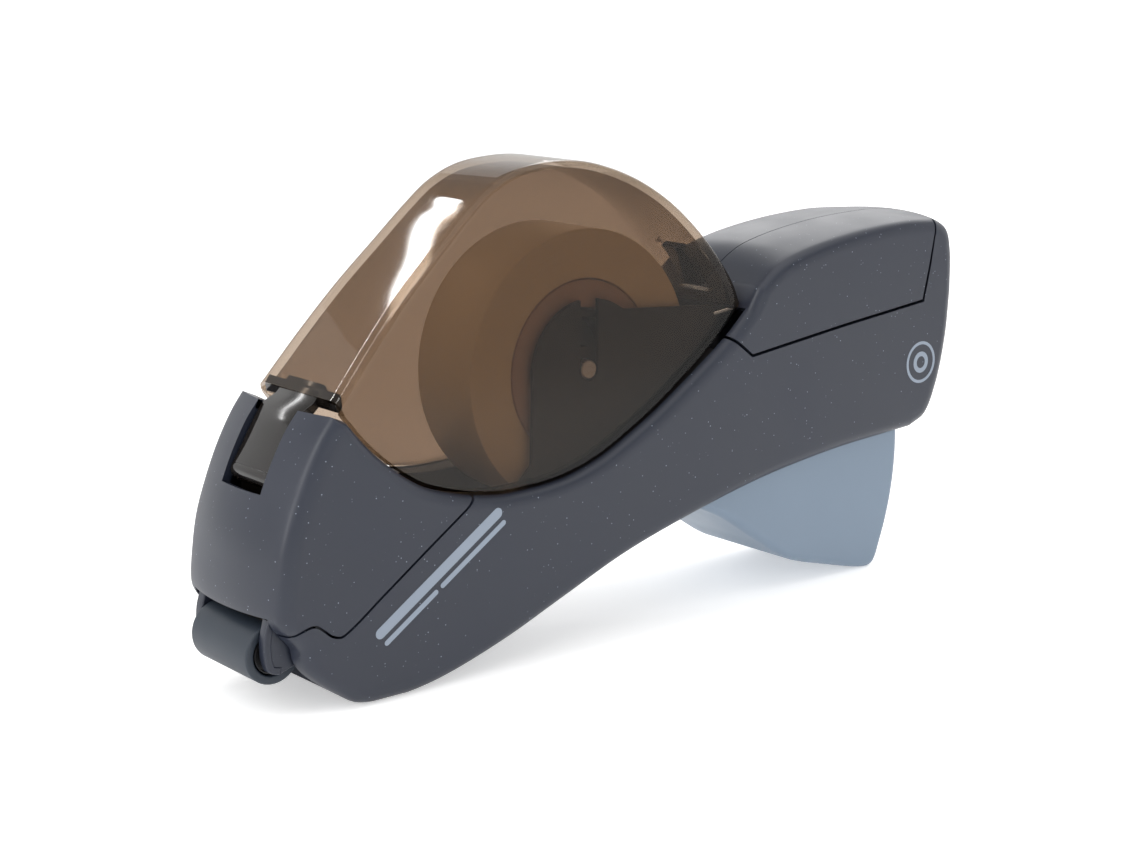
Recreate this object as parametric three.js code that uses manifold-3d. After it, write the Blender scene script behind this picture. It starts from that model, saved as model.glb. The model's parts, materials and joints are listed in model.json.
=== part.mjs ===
// Hand-held tape dispenser: slate housing, smoked flip-up cover, front press roller, squeeze trigger.
// Millimetres, +Z up. The front (press roller) points along -X and the handle along +X.
// Side-view sketches are [x, z] pairs measured from the press roller's axis.

import * as THREE from 'three';
import { mergeVertices } from 'three/addons/utils/BufferGeometryUtils.js';
import Module from 'manifold-3d';

const wasm = await Module();
wasm.setup();

// ---------------------------------------------------------------- driving dimensions

const ORIGIN_X = 90.1; // from the press roller's axis back to the middle of the whole length
const BELLY_Z = 12; // from the press roller's axis down to the belly's resting flat
const GAP = 0.3; // clearance between neighbouring pieces
const THROUGH = 30; // half width of a cut that goes right through the housing
const FAR = 220; // beyond the whole dispenser in every direction

const BODY_HALF = 18; // half the housing's width
const BODY_EDGE = 2.6; // rounding of the housing's long edges
const WALL = 1.8; // housing wall
const HALF_SPLIT = 0.15; // half the gap between the casing halves
const PARTING_GAP = 0.25; // half the gap between the nose cover and the casing
const PANEL_GAP = 0.35; // gap round the handle panels
const NOSE_BULGE = 3; // how far the nose's middle stands ahead of its corners
const REAR_BULGE = 4.2; // how far the rear end's middle stands behind its corners
const TOP_BULGE = 1.2; // how far the handle's top rises to its middle line

const ROLLER_R = 6; // press roller
const ROLLER_HALF = 10.25;
const TAPE_HALF = 9; // tape 18 mm wide
const CORE_HOLE_R = 12.7; // 25.4 mm core
const CORE_R = 18.4;
const ROLL_R = 28.9;
const HUB = [76.5, 45];

const FRAME_IN = 10.2; // side frame plates, inner and outer face
const FRAME_OUT = 11.2;
const RATCHET_Y = [-12.5, -11.5]; // layers of the left-hand linkage, from the plate outwards
const ROCKER_Y = [-13.9, -12.9];
const LINK_Y = [-15.3, -14.3];

const COVER_HINGE = [4.2, 32.2];
const COVER_WALL = 1.6;
const COVER_SEAT = 25; // height of the cover's lowest edge
const COVER_TOP = 88;
const COVER_HALF_LOW = 15.6; // cover half width at its lowest edge and at its crest
const COVER_HALF_TOP = 11.4;
const TONGUE_HALF = 6.6;
const LATCH_HALF = 3.5;

const TRIGGER_PIVOT = [105, 17];
const TRIGGER_HALF = 15.2;
const TRIGGER_ARM_PIN = [108, 30];
const ROCKER_PIVOT = [8, 17];
const ROCKER_LINK_PIN = [10.5, 26.5];
const ROCKER_BLADE_PIN = [2.4, 18.4];
const PAWL_PIN = [13.5, 22.5];
const FEED = [21, 15.3];
const FEED_R = 6;
const RATCHET_TIP_R = 5.5;
const RATCHET_ROOT_R = 4.3;
const IDLER = [22.6, 3.7];
const IDLER_R = 4.2;
const TAPE_EXIT = [1, 6.8];
const BLADE_TOP = 17; // heights of the blade's back, its tooth roots and its tooth tips at rest
const BLADE_ROOT = 10.4;
const BLADE_TIP = 9.6;
const BLADE_THICK = 0.5;

const POST_R = 3; // screw posts in the casing halves, their holes and the recess for the head
const POST_HOLE_R = 1.7;
const HEAD_RECESS_R = 2.9;
const SCREW_R = 1.4;
const SCREW_HEAD_R = 2.5;
const SHAFT_R = 1.5; // shafts, pins and the holes they run in
const SHAFT_HOLE_R = 1.8;
const PIN_R = 1;
const PIN_HOLE_R = 1.3;
const LINK_PIN_R = 1.1;
const LINK_HOLE_R = 1.4;
const SCREWS = {
  front: [31, -5],
  middle: [62, 5],
  handle: [124, 39.5],
  rear: [173, 34],
};

// The housing's side outline: nose top, down the front to the belly's flat, then back and over the handle.
const NOSE_TOP = [11.2, 45];
const HOUSING_FRONT = [
  [8.4, 41.2], [5.0, 35.2], [1.9, 28], [-0.1, 22], [-1.2, 16], [-1.8, 10],
  [-1.6, 8], [-0.6, 6], [1, 4], [2.9, 1.6], [3.3, -0.6], [4.4, -3.1], [6.9, -6], [10.6, -9],
  [14, -11.2], [18, -12],
];
const HOUSING_REAR = [
  [26, -12], [35, -10.6], [50, -6.2], [65.4, -0.3], [81.5, 5.8], [101, 11.2], [122, 15.8], [144, 18.8],
  [160, 20], [169.5, 20.6], [174.6, 23], [178.3, 30], [181, 41], [182, 52], [181.6, 61],
  [180, 66], [176, 68.4], [167, 68.9], [150.4, 67.8], [134.5, 65.2], [125, 62.2], [119.8, 58.6],
];

// The cover's lower edge, from its rear corner forwards.
const COVER_EDGE = [
  [116.4, 54.6], [110.8, 49.6], [104, 44.7], [96.9, 40], [89.9, 35.6], [83, 31.9], [76.2, 28.6], [70.8, 26.7],
  [65.5, 25.4], [60.3, 24.8], [55.2, 24.6], [50.2, 24.6], [45.2, 25.2], [40.3, 26.2], [35.5, 27.6],
  [30.8, 29.5], [26.2, 32.4], [21.7, 36.1], [18.4, 39.4], [14.4, 44.3],
];

// The cover's crest, from the front edge back over the top to the rear corner.
const COVER_CREST = [
  [13.2, 47], [21.5, 56.4], [30, 65.3], [38.3, 72.9], [45.8, 79.6], [51.4, 83.9], [58, 86.8], [66, 88],
  [74.5, 87.9], [83, 86], [91.5, 82.6], [99.5, 77.8], [106.5, 71.8], [112.4, 65.2], [116.2, 59.4],
  [117.6, 55.6],
];

const NOSE_PARTING = [
  [45.4, 27.2], [41.7, 24.2], [30.8, 16.8], [20.2, 9.5], [12.4, 4.1], [10.2, 3.1], [8.2, 3.7], [6.6, 5],
  [4.6, 6.3], [2.2, 6.2], [-0.4, 4.8], [-5, 1.6],
];

const HANDLE_PANEL = [
  [104.5, 52.4], [116.8, 44.1], [144.8, 47.6], [171.6, 50.5], [173.5, 58.5], [176, 76], [104.5, 76],
];

// ---------------------------------------------------------------- materials

const paint = (color, roughness, metalness = 0) =>
  new THREE.MeshStandardMaterial({ color, roughness, metalness });

const SLATE = () => paint(0x3e4452, 0.5);
const BLACK = () => paint(0x1b1c20, 0.55);
const SMOKE = () => paint(0x6a5a4c, 0.12);
const TRIGGER_BLUE = () => paint(0x8597a8, 0.45);
const ROLLER_RUBBER = () => paint(0x414a56, 0.7);
const STEEL = () => paint(0xb5b8bc, 0.3, 1);
const CARD = () => paint(0xc9b79c, 0.9);
const FILM = () => paint(0xd9c8a4, 0.35);
const GREY_NYLON = () => paint(0x9a9da1, 0.6);

// ---------------------------------------------------------------- shape helpers

const group = new THREE.Group();
group.position.set(-ORIGIN_X, 0, BELLY_Z);

/** Smooth open curve through sketch points, with `fine` steps in each stretch. */
function smooth(points, fine = 2) {
  const knots = points.map(([x, z]) => new THREE.Vector3(x, z, 0));
  const curve = new THREE.CatmullRomCurve3(knots, false, 'centripetal');
  return curve.getPoints((points.length - 1) * fine).map((p) => [p.x, p.y]);
}

/** Sketch point on a circle, angle in degrees. */
function onCircle([cx, cz], radius, angle) {
  const turn = THREE.MathUtils.degToRad(angle);
  return [cx + radius * Math.cos(turn), cz + radius * Math.sin(turn)];
}

/** Arc of sketch points about a centre, angles in degrees. */
function arc(centre, radius, from, to, steps = 12) {
  const angle = (i) => from + ((to - from) * i) / steps;
  return Array.from({ length: steps + 1 }, (_, i) => onCircle(centre, radius, angle(i)));
}

/** Moves each point of an outline sideways: a positive distance goes to the left of its run. */
function offset(points, distance, closed = false) {
  const last = points.length - 1;
  return points.map(([x, z], i) => {
    const before = points[i > 0 ? i - 1 : closed ? last : 0];
    const after = points[i < last ? i + 1 : closed ? 0 : last];
    const dx = after[0] - before[0];
    const dz = after[1] - before[1];
    const length = Math.hypot(dx, dz);
    return [x - (distance * dz) / length, z + (distance * dx) / length];
  });
}

/** Grows a straight-sided outline outwards, keeping its corners sharp. */
function grow(points, distance) {
  const area = points.reduce((sum, [x, z], i) => {
    const [nx, nz] = points[(i + 1) % points.length];
    return sum + x * nz - nx * z;
  }, 0);
  const sign = Math.sign(area);
  return points.map((point, i) => {
    const before = points[(i + points.length - 1) % points.length];
    const after = points[(i + 1) % points.length];
    const a = new THREE.Vector2(point[0] - before[0], point[1] - before[1]).normalize();
    const b = new THREE.Vector2(after[0] - point[0], after[1] - point[1]).normalize();
    const normal = new THREE.Vector2(a.y + b.y, -a.x - b.x).normalize();
    const reach = (sign * distance) / Math.max(normal.dot(new THREE.Vector2(a.y, -a.x)), 0.4);
    return [point[0] + normal.x * reach, point[1] + normal.y * reach];
  });
}

/** Slab of a side outline between two widths; `edge` rounds its long edges inwards. */
function slabGeometry(outline, low, high, edge = 0, steps = 1) {
  const shape = new THREE.Shape(outline.map(([x, z]) => new THREE.Vector2(x, z)));
  const geometry = new THREE.ExtrudeGeometry(shape, {
    depth: high - low - 2 * edge,
    steps,
    bevelEnabled: edge > 0,
    bevelThickness: edge,
    bevelSize: edge,
    bevelOffset: -edge,
    bevelSegments: 2,
  });
  geometry.rotateX(Math.PI / 2);
  geometry.translate(0, high - edge, 0);
  return geometry;
}

/** Turns a closed geometry into a solid that can be joined and cut. */
function solid(geometry) {
  geometry.deleteAttribute('normal');
  geometry.deleteAttribute('uv');
  const merged = mergeVertices(geometry, 1e-4);
  return new wasm.Manifold(new wasm.Mesh({
    numProp: 3,
    vertProperties: new Float32Array(merged.attributes.position.array),
    triVerts: new Uint32Array(merged.index.array),
  }));
}

const slab = (outline, low, high, edge = 0) => solid(slabGeometry(outline, low, high, edge));

/** Box from its lowest to its highest corner. */
function block(x0, x1, y0, y1, z0, z1) {
  const geometry = new THREE.BoxGeometry(x1 - x0, y1 - y0, z1 - z0);
  geometry.translate((x0 + x1) / 2, (y0 + y1) / 2, (z0 + z1) / 2);
  return solid(geometry);
}

/** Round bar across the width. */
function rod([x, z], radius, low, high, sides = 16) {
  const geometry = new THREE.CylinderGeometry(radius, radius, high - low, sides);
  geometry.translate(0, (low + high) / 2, 0);
  geometry.translate(x, 0, z);
  return solid(geometry);
}

/** Ring across the width, turned from a closed profile of [radius, y] points. */
function turned([x, z], profile, sides = 32) {
  const points = [...profile, profile[0]].map(([r, y]) => new THREE.Vector2(r, y));
  const geometry = new THREE.LatheGeometry(points, sides);
  geometry.translate(x, 0, z);
  const made = solid(geometry);
  return made.volume() < 0 ? solid(flipped(geometry)) : made;
}

/** Reverses a geometry's faces. */
function flipped(geometry) {
  const order = geometry.index.array;
  for (let i = 0; i < order.length; i += 3) {
    [order[i], order[i + 1]] = [order[i + 1], order[i]];
  }
  return geometry;
}

const tube = (centre, inner, outer, low, high, sides = 32) =>
  turned(centre, [[inner, low], [outer, low], [outer, high], [inner, high]], sides);

/** Adds one named piece to the dispenser. */
function piece(name, made, material) {
  const mesh = made.getMesh();
  const geometry = new THREE.BufferGeometry();
  geometry.setAttribute('position', new THREE.BufferAttribute(new Float32Array(mesh.vertProperties), 3));
  geometry.setIndex(new THREE.BufferAttribute(new Uint32Array(mesh.triVerts), 1));
  geometry.computeVertexNormals();
  const part = new THREE.Mesh(geometry, material);
  part.name = name;
  group.add(part);
}

/** Smooth step from 0 at `none` to 1 at `full`. */
function fade(value, full, none) {
  const reach = none > full ? none - value : value - none;
  return THREE.MathUtils.smoothstep(reach, 0, Math.abs(none - full));
}

/** Crowns the housing: nose forwards, rear end backwards and handle top upwards, most at the middle. */
function crown(geometry) {
  const position = geometry.attributes.position;
  for (let i = 0; i < position.count; i += 1) {
    const x = position.getX(i);
    const z = position.getZ(i);
    const middle = 1 - (position.getY(i) / BODY_HALF) ** 2;
    const nose = NOSE_BULGE * fade(x, 8, 26) * fade(z, 0, -10);
    const rear = REAR_BULGE * fade(x, 180, 150);
    const top = TOP_BULGE * fade(z, 62, 50) * fade(x, 132, 120);
    position.setX(i, x + (rear - nose) * middle);
    position.setZ(i, z + top * middle);
  }
  return geometry;
}

/** Narrows the cover from its lower edge to its crest. */
function taper(geometry) {
  const position = geometry.attributes.position;
  const middle = (COVER_HALF_LOW + COVER_HALF_TOP) / 2;
  for (let i = 0; i < position.count; i += 1) {
    const height = THREE.MathUtils.clamp((position.getZ(i) - COVER_SEAT) / (COVER_TOP - COVER_SEAT), 0, 1);
    const half = middle + (COVER_HALF_LOW - middle) * Math.cos(Math.PI * height);
    position.setY(i, (position.getY(i) * half) / middle);
  }
  return geometry;
}

// ---------------------------------------------------------------- housing

const seatEdge = offset(smooth(COVER_EDGE), 0.8); // the housing's own edge, just below the cover
const housingRun = [...smooth(HOUSING_FRONT), ...smooth(HOUSING_REAR)];
const housingOutline = [NOSE_TOP, ...housingRun, ...seatEdge];
const bored = (made, centre, radius) => made.subtract(rod(centre, radius, -THROUGH, THROUGH));

/** Hollow housing before it is parted into the nose, the casing halves and the handle panels. */
function housingShell() {
  const outer = solid(crown(slabGeometry(housingOutline, -BODY_HALF, BODY_HALF, BODY_EDGE, 4)));
  const cavityOutline = offset([...housingRun, ...seatEdge.slice(0, -4)], WALL, true);
  const half = BODY_HALF - WALL;
  const cavity = solid(crown(slabGeometry(cavityOutline, -half, half, 0, 4)));
  const seat = [...offset(seatEdge, 4), [15.2, 70], [114.8, 70]];
  const coverMouth = slab(seat, -half, half);
  const triggerMouth = block(101.4, 169.2, -TRIGGER_HALF - 0.4, TRIGGER_HALF + 0.4, -30, 26);
  const rollerMouth = block(-20, 8.6, -13.4, 13.4, -30, 8.2);
  const tongueSlot = block(-6, 16, -TONGUE_HALF - 0.4, TONGUE_HALF + 0.4, 29.4, 60);
  const cuts = [cavity, coverMouth, triggerMouth, rollerMouth, tongueSlot];
  return cuts.reduce((left, cut) => left.subtract(cut), outer);
}

const shell = housingShell();
const parting = smooth(NOSE_PARTING, 2);
const ahead = [[-30, -4], [-30, 80], [46, 80]];
const noseRegion = (gap) => slab([...offset(parting, -gap), ...ahead], -THROUGH, THROUGH);
const casing = shell.subtract(noseRegion(-PARTING_GAP));
const panelRegion = (outline) => slab(outline, -THROUGH, THROUGH);
const panels = casing.intersect(panelRegion(HANDLE_PANEL));
const casings = casing.subtract(panelRegion(grow(HANDLE_PANEL, PANEL_GAP)));

/** Nose cover with the two ears that hold the cover's hinge pin. */
function noseCover() {
  let made = shell.intersect(noseRegion(PARTING_GAP));
  for (const side of [-1, 1]) {
    const ear = [[1.6, 29.2], [6.6, 29.4], [6.9, 34.2], [3.2, 35.4]];
    const near = TONGUE_HALF + 0.6;
    const span = side < 0 ? [-near - 2.4, -near] : [near, near + 2.4];
    made = made.add(slab(ear, ...span));
  }
  return made.subtract(rod(COVER_HINGE, 1.2, -9.7, 9.7));
}

/** Everything on one side of the middle plane, less half the gap between the casing halves. */
function sideSpace(side) {
  const [low, high] = side < 0 ? [-FAR, -HALF_SPLIT] : [HALF_SPLIT, FAR];
  return block(-FAR, FAR, low, high, -FAR, FAR);
}

/** Half casing with its screw posts; side is -1 on the left and 1 on the right. */
function casingHalf(side) {
  const post = side < 0 ? [-BODY_HALF + 1, -GAP] : [GAP, BODY_HALF - 1];
  const hole = side < 0 ? [-13, 1] : [-1, 20];
  let made = casings.intersect(sideSpace(side));
  for (const centre of Object.values(SCREWS)) {
    made = made.add(rod(centre, POST_R, ...post));
    made = made.subtract(rod(centre, POST_HOLE_R, ...hole));
  }
  if (side > 0) {
    for (const centre of Object.values(SCREWS)) {
      made = made.subtract(rod(centre, HEAD_RECESS_R, BODY_HALF - 1.9, 20));
    }
  }
  return made;
}

/** Pan-head screw that draws the two halves together from the right-hand side. */
function casingScrew(centre) {
  const [x, z] = centre;
  const head = rod(centre, SCREW_HEAD_R, BODY_HALF - 1.6, BODY_HALF - 0.4);
  const made = rod(centre, SCREW_R, -12, BODY_HALF - 1).add(head);
  const cross = block(x - 1.5, x + 1.5, BODY_HALF - 1.1, 20, z - 0.3, z + 0.3);
  return made.subtract(cross).subtract(block(x - 0.3, x + 0.3, BODY_HALF - 1.1, 20, z - 1.5, z + 1.5));
}

piece('casing_left', casingHalf(-1), SLATE());
piece('casing_right', casingHalf(1), SLATE());
piece('nose_cover', noseCover(), SLATE());
piece('handle_panel_left', panels.intersect(sideSpace(-1)), SLATE());
piece('handle_panel_right', panels.intersect(sideSpace(1)), SLATE());
for (const [place, centre] of Object.entries(SCREWS)) {
  piece(`casing_screw_${place}`, casingScrew(centre), STEEL());
}

// ---------------------------------------------------------------- inner frame

const FRAME_LOWER = [
  [6.4, 31], [6, 24], [6.6, 12.5], [9.6, 9.4], [9.6, -5.6], [18, -8.4], [27, -8.6], [36, -7],
  [50, -2.4], [65, 3.4], [81, 9.4], [97, 13.6],
];

/** Side plate that carries the hub, the feed rollers and the pivots, with a black ledge under the cover. */
function sideFrame(side) {
  const span = (near, far) => (side < 0 ? [-far, -near] : [near, far]);
  const lobe = arc(HUB, 14.8, 52, 190, 20);
  const ledgeRun = offset(smooth(COVER_EDGE).slice(3, -2), 1.2);
  const ahead = ledgeRun.filter(([x]) => x > 28 && x < 60);
  const outline = [
    ...FRAME_LOWER, ...arc(TRIGGER_PIVOT, 3.7, 250, 360, 8), [111, 26], [113.2, 38],
    [112.8, 50.2], [110.6, 54.9], [86.6, 56.6], ...lobe, [61.4, 27], ...ahead,
  ];
  let made = slab(outline, ...span(FRAME_IN, FRAME_OUT));
  const ledge = [...ledgeRun, ...offset(ledgeRun, 1.6).reverse()];
  made = made.add(slab(ledge, ...span(FRAME_IN + 0.4, BODY_HALF - WALL - 0.4)));
  const [hubX, hubZ] = HUB;
  const above = [[hubX + 2.4, hubZ + 20], [hubX - 2.4, hubZ + 20]];
  const slot = slab([...arc(HUB, 2.4, 180, 360, 10), ...above], -THROUGH, THROUGH);
  made = made.subtract(slot);
  for (const centre of Object.values(SCREWS)) {
    made = bored(made, centre, POST_R + GAP);
  }
  made = bored(made, FEED, SHAFT_HOLE_R);
  made = bored(made, IDLER, 1.5);
  made = bored(made, TRIGGER_PIVOT, SHAFT_HOLE_R);
  made = bored(made, ROCKER_PIVOT, PIN_HOLE_R);
  return made;
}

/** Arm that holds one end of the press roller's axle below the nose. */
function rollerArm(side) {
  const outline = [
    [-0.4, 13.6], [-0.5, 7.9], ...smooth([[-2.4, 7.6], [-3.3, 4], [-3.3, 0], [-2.4, -2.6], [-0.2, -3.4]], 3),
    [4.8, -1.7], [5, 1.6], [4.6, 13.6],
  ];
  const span = side < 0 ? [-12.9, -10.6] : [10.6, 12.9];
  return bored(slab(outline, ...span), [0, 0], SHAFT_HOLE_R);
}

piece('side_frame_left', sideFrame(-1), BLACK());
piece('side_frame_right', sideFrame(1), BLACK());
piece('roller_arm_left', rollerArm(-1), SLATE());
piece('roller_arm_right', rollerArm(1), SLATE());

// ---------------------------------------------------------------- press roller

piece('press_roller_axle', rod([0, 0], SHAFT_R, -12.7, 12.7), STEEL());
piece('press_roller_core', tube([0, 0], SHAFT_HOLE_R, 3.9, -9.9, 9.9), BLACK());
piece('press_roller_sleeve', tube([0, 0], 4.2, ROLLER_R, -ROLLER_HALF, ROLLER_HALF), ROLLER_RUBBER());

// ---------------------------------------------------------------- tape and hub

piece('tape_roll', tube(HUB, CORE_R + GAP, ROLL_R, -TAPE_HALF, TAPE_HALF, 64), FILM());
piece('tape_core', tube(HUB, CORE_HOLE_R, CORE_R, -TAPE_HALF, TAPE_HALF), CARD());
piece('hub_axle', rod(HUB, 2, -FRAME_OUT, FRAME_OUT), STEEL());

/** Hub drum: rim, web and boss in one moulding. */
function coreHub() {
  const profile = [
    [2.3, -9.6], [4.6, -9.6], [4.6, -1], [10.8, -1], [10.8, -9.6], [CORE_HOLE_R - GAP, -9.6],
    [CORE_HOLE_R - GAP, 9.6], [10.8, 9.6], [10.8, 1], [4.6, 1], [4.6, 9.6], [2.3, 9.6],
  ];
  return turned(HUB, profile);
}

/** Straight run of tape from the underside of the roll to the exit over the press roller. */
function tapeLead() {
  const dx = HUB[0] - TAPE_EXIT[0];
  const dz = HUB[1] - TAPE_EXIT[1];
  const reach = ROLL_R + GAP + 0.2;
  const distance = Math.hypot(dx, dz);
  const slope = Math.atan2(dz, dx) - Math.asin(reach / distance);
  const length = Math.sqrt(distance ** 2 - reach ** 2);
  const end = [TAPE_EXIT[0] + length * Math.cos(slope), TAPE_EXIT[1] + length * Math.sin(slope)];
  const line = [TAPE_EXIT, end];
  return slab([...offset(line, 0.14), ...offset(line, -0.14).reverse()], -TAPE_HALF, TAPE_HALF);
}

piece('core_hub', coreHub(), BLACK());
piece('tape_lead', tapeLead(), FILM());
const GUIDE_PLATE = [[8.9, 5.1], [17.4, 6.6], [17.4, 7.4], [8.9, 6.6]];
piece('tape_guide_plate', slab(GUIDE_PLATE, -FRAME_IN + GAP, FRAME_IN - GAP), STEEL());

// ---------------------------------------------------------------- feed rollers and ratchet

/** Saw-toothed wheel that the pawl drives one way. */
function ratchetWheel() {
  const teeth = 12;
  const outline = [];
  for (let i = 0; i < teeth; i += 1) {
    const angle = (360 * i) / teeth;
    outline.push(onCircle(FEED, RATCHET_TIP_R, angle), onCircle(FEED, RATCHET_ROOT_R, angle + 3));
  }
  return bored(slab(outline, ...RATCHET_Y), FEED, SHAFT_HOLE_R);
}

/** Rubber feed roller with shallow grooves round it. */
function feedRoller() {
  const profile = [[SHAFT_HOLE_R, -9.4], [FEED_R, -9.4]];
  for (const y of [-6, -2, 2, 6]) {
    profile.push([FEED_R, y - 0.5], [FEED_R - 0.6, y - 0.5], [FEED_R - 0.6, y + 0.5], [FEED_R, y + 0.5]);
  }
  profile.push([FEED_R, 9.4], [SHAFT_HOLE_R, 9.4]);
  return turned(FEED, profile, 20);
}

piece('feed_shaft', rod(FEED, SHAFT_R, -12.7, 11.8), STEEL());
piece('feed_roller', feedRoller(), ROLLER_RUBBER());
piece('ratchet_wheel', ratchetWheel(), GREY_NYLON());
piece('idler_pin', rod(IDLER, 1.2, -FRAME_OUT - 0.4, FRAME_OUT + 0.4), STEEL());
piece('idler_roller', tube(IDLER, 1.5, IDLER_R, -9.4, 9.4, 36), GREY_NYLON());

// ---------------------------------------------------------------- cutter linkage

/** Flat strip along sketch points with rounded ends. */
function strip(points, half, span) {
  const [first, second] = points;
  const [beforeLast, last] = points.slice(-2);
  const heading = (a, b) => THREE.MathUtils.radToDeg(Math.atan2(b[1] - a[1], b[0] - a[0]));
  const start = heading(first, second);
  const finish = heading(beforeLast, last);
  const outline = [
    ...offset(points, -half).slice(1, -1), ...arc(last, half, finish - 90, finish + 90, 8),
    ...offset(points, half).slice(1, -1).reverse(), ...arc(first, half, start + 90, start + 270, 8),
  ];
  return slab(outline, ...span);
}

/** Two-armed rocker: the link bar pushes its upper arm, its front arm drives the blade holder. */
function cutterRocker() {
  const front = strip([ROCKER_BLADE_PIN, ROCKER_PIVOT], 1.9, ROCKER_Y);
  const upper = strip([ROCKER_PIVOT, ROCKER_LINK_PIN], 2.2, ROCKER_Y);
  const pawlArm = strip([ROCKER_PIVOT, PAWL_PIN], 1.8, ROCKER_Y);
  const pawlPin = rod(PAWL_PIN, 0.8, RATCHET_Y[0] - 0.7, RATCHET_Y[1]);
  let made = front.add(upper).add(pawlArm);
  made = bored(made, ROCKER_PIVOT, PIN_HOLE_R);
  made = bored(made, ROCKER_BLADE_PIN, LINK_HOLE_R);
  return bored(made, ROCKER_LINK_PIN, 1.5).add(pawlPin);
}

/** Pawl that hangs on the rocker and rests on the ratchet wheel. */
function feedPawl() {
  const tip = [FEED[0] - 2.2, FEED[1] + 5.5];
  const edge = [[tip[0] - 0.6, tip[1] - 0.3], [tip[0] + 0.6, tip[1] + 0.9]];
  const outline = [...arc(PAWL_PIN, 1.9, 60, 240, 8), ...edge];
  return bored(slab(outline, ...RATCHET_Y), PAWL_PIN, 1.1);
}

/** Stamped link bar from the trigger's arm to the rocker, dipping under the hub. */
function linkBar() {
  const dip = [[97, 21.5], [80, 15.4], [60, 10.6], [40, 10.4], [24, 16], [16, 22]];
  const run = smooth([TRIGGER_ARM_PIN, ...dip, ROCKER_LINK_PIN], 3);
  let made = strip(run, 2, LINK_Y);
  made = bored(made, TRIGGER_ARM_PIN, LINK_HOLE_R);
  return made.add(rod(ROCKER_LINK_PIN, LINK_PIN_R, LINK_Y[0] + 0.2, ROCKER_Y[1] - 0.1));
}

/** Carrier that slides up and down behind the nose, with the lug that the rocker pushes. */
function bladeHolder() {
  const bar = slab([[0.8, 12.4], [3.4, 12.4], [3.4, 20.2], [1.4, 20.2], [0.8, 19]], -9.8, 9.8);
  return bar.add(rod(ROCKER_BLADE_PIN, PIN_R, ROCKER_Y[0] - 0.2, -9.5));
}

/** Steel blade with a saw-toothed lower edge. */
function blade() {
  const tooth = 1.2;
  const count = 16;
  const half = (tooth * count) / 2;
  const points = [[-half, BLADE_TOP]];
  for (let i = 0; i < count; i += 1) {
    points.push([-half + i * tooth, BLADE_ROOT], [-half + (i + 0.5) * tooth, BLADE_TIP]);
  }
  points.push([half, BLADE_ROOT], [half, BLADE_TOP]);
  const shape = new THREE.Shape(points.map(([y, z]) => new THREE.Vector2(y, z)));
  const geometry = new THREE.ExtrudeGeometry(shape, { depth: BLADE_THICK, bevelEnabled: false });
  geometry.rotateX(Math.PI / 2);
  geometry.rotateZ(Math.PI / 2);
  return solid(geometry);
}

piece('rocker_pin', rod(ROCKER_PIVOT, PIN_R, ROCKER_Y[0] - 0.2, 11.6), STEEL());
piece('cutter_rocker', cutterRocker(), STEEL());
piece('feed_pawl', feedPawl(), STEEL());
piece('link_bar', linkBar(), STEEL());
piece('blade_holder', bladeHolder(), BLACK());
piece('blade', blade(), STEEL());

// ---------------------------------------------------------------- trigger

const TRIGGER_FRONT = [[104, 11.8], [107, 10.4], [112.7, 7.6], [123, 0.8], [132.7, -5.2], [139, -7.4]];

/** Hollow trigger, open at the top, with its pivot ears and the arm that drives the link bar. */
function trigger() {
  const rear = arc(TRIGGER_PIVOT, 63, -24, 6, 10);
  const foot = [[157.6, -12], [160.6, -12], [161.8, -10.9]];
  const outline = [...smooth(TRIGGER_FRONT, 3), ...foot, ...rear, [112, 21.4], [104, 13.4]];
  const half = TRIGGER_HALF - WALL;
  const inside = [
    [101, 13.05], [106.6, 12.9], ...offset(smooth(TRIGGER_FRONT.slice(1), 3), WALL),
    [158, -10.1], [159.8, -9.6], ...arc(TRIGGER_PIVOT, 61.2, -23.4, 6, 10), [167, 40], [101, 40],
  ];
  let made = slab(outline, -TRIGGER_HALF, TRIGGER_HALF, 0.9).subtract(slab(inside, -half, half));
  for (const span of [[-TRIGGER_HALF, -half], [half, TRIGGER_HALF]]) {
    made = made.add(slab([...arc(TRIGGER_PIVOT, 4.4, 60, 270, 14), [112, 9.6], [116, 19.6]], ...span));
  }
  made = made.add(strip([TRIGGER_PIVOT, TRIGGER_ARM_PIN], 3, [ROCKER_Y[0], ROCKER_Y[1]]));
  made = bored(made, TRIGGER_PIVOT, SHAFT_HOLE_R);
  return made.add(rod(TRIGGER_ARM_PIN, LINK_PIN_R, LINK_Y[0] - 0.2, ROCKER_Y[1]));
}

/** Torsion spring wound on the trigger's pivot pin. */
function triggerSpring() {
  const turns = 4;
  const coil = [];
  for (let i = 0; i <= turns * 10; i += 1) {
    const angle = (2 * Math.PI * i) / 10;
    coil.push(new THREE.Vector3(
      TRIGGER_PIVOT[0] + 2.7 * Math.cos(angle),
      2 + (1.3 * i) / 10,
      TRIGGER_PIVOT[1] + 2.7 * Math.sin(angle),
    ));
  }
  coil.push(new THREE.Vector3(TRIGGER_PIVOT[0] + 2.4, 2.1 + 1.3 * turns, TRIGGER_PIVOT[1] + 9));
  const wire = new THREE.Shape();
  wire.setFromPoints(arc([0, 0], 0.45, 0, 300, 5).map(([x, z]) => new THREE.Vector2(x, z)));
  const path = new THREE.CatmullRomCurve3(coil, false, 'centripetal');
  const options = { steps: 60, curveSegments: 1, extrudePath: path, bevelEnabled: false };
  return solid(new THREE.ExtrudeGeometry(wire, options));
}

piece('trigger', trigger(), TRIGGER_BLUE());
const PIVOT_PIN_HALF = BODY_HALF - WALL - GAP;
piece('trigger_pivot_pin', rod(TRIGGER_PIVOT, SHAFT_R, -PIVOT_PIN_HALF, PIVOT_PIN_HALF), STEEL());
piece('trigger_spring', triggerSpring(), STEEL());

// ---------------------------------------------------------------- smoked cover

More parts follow.
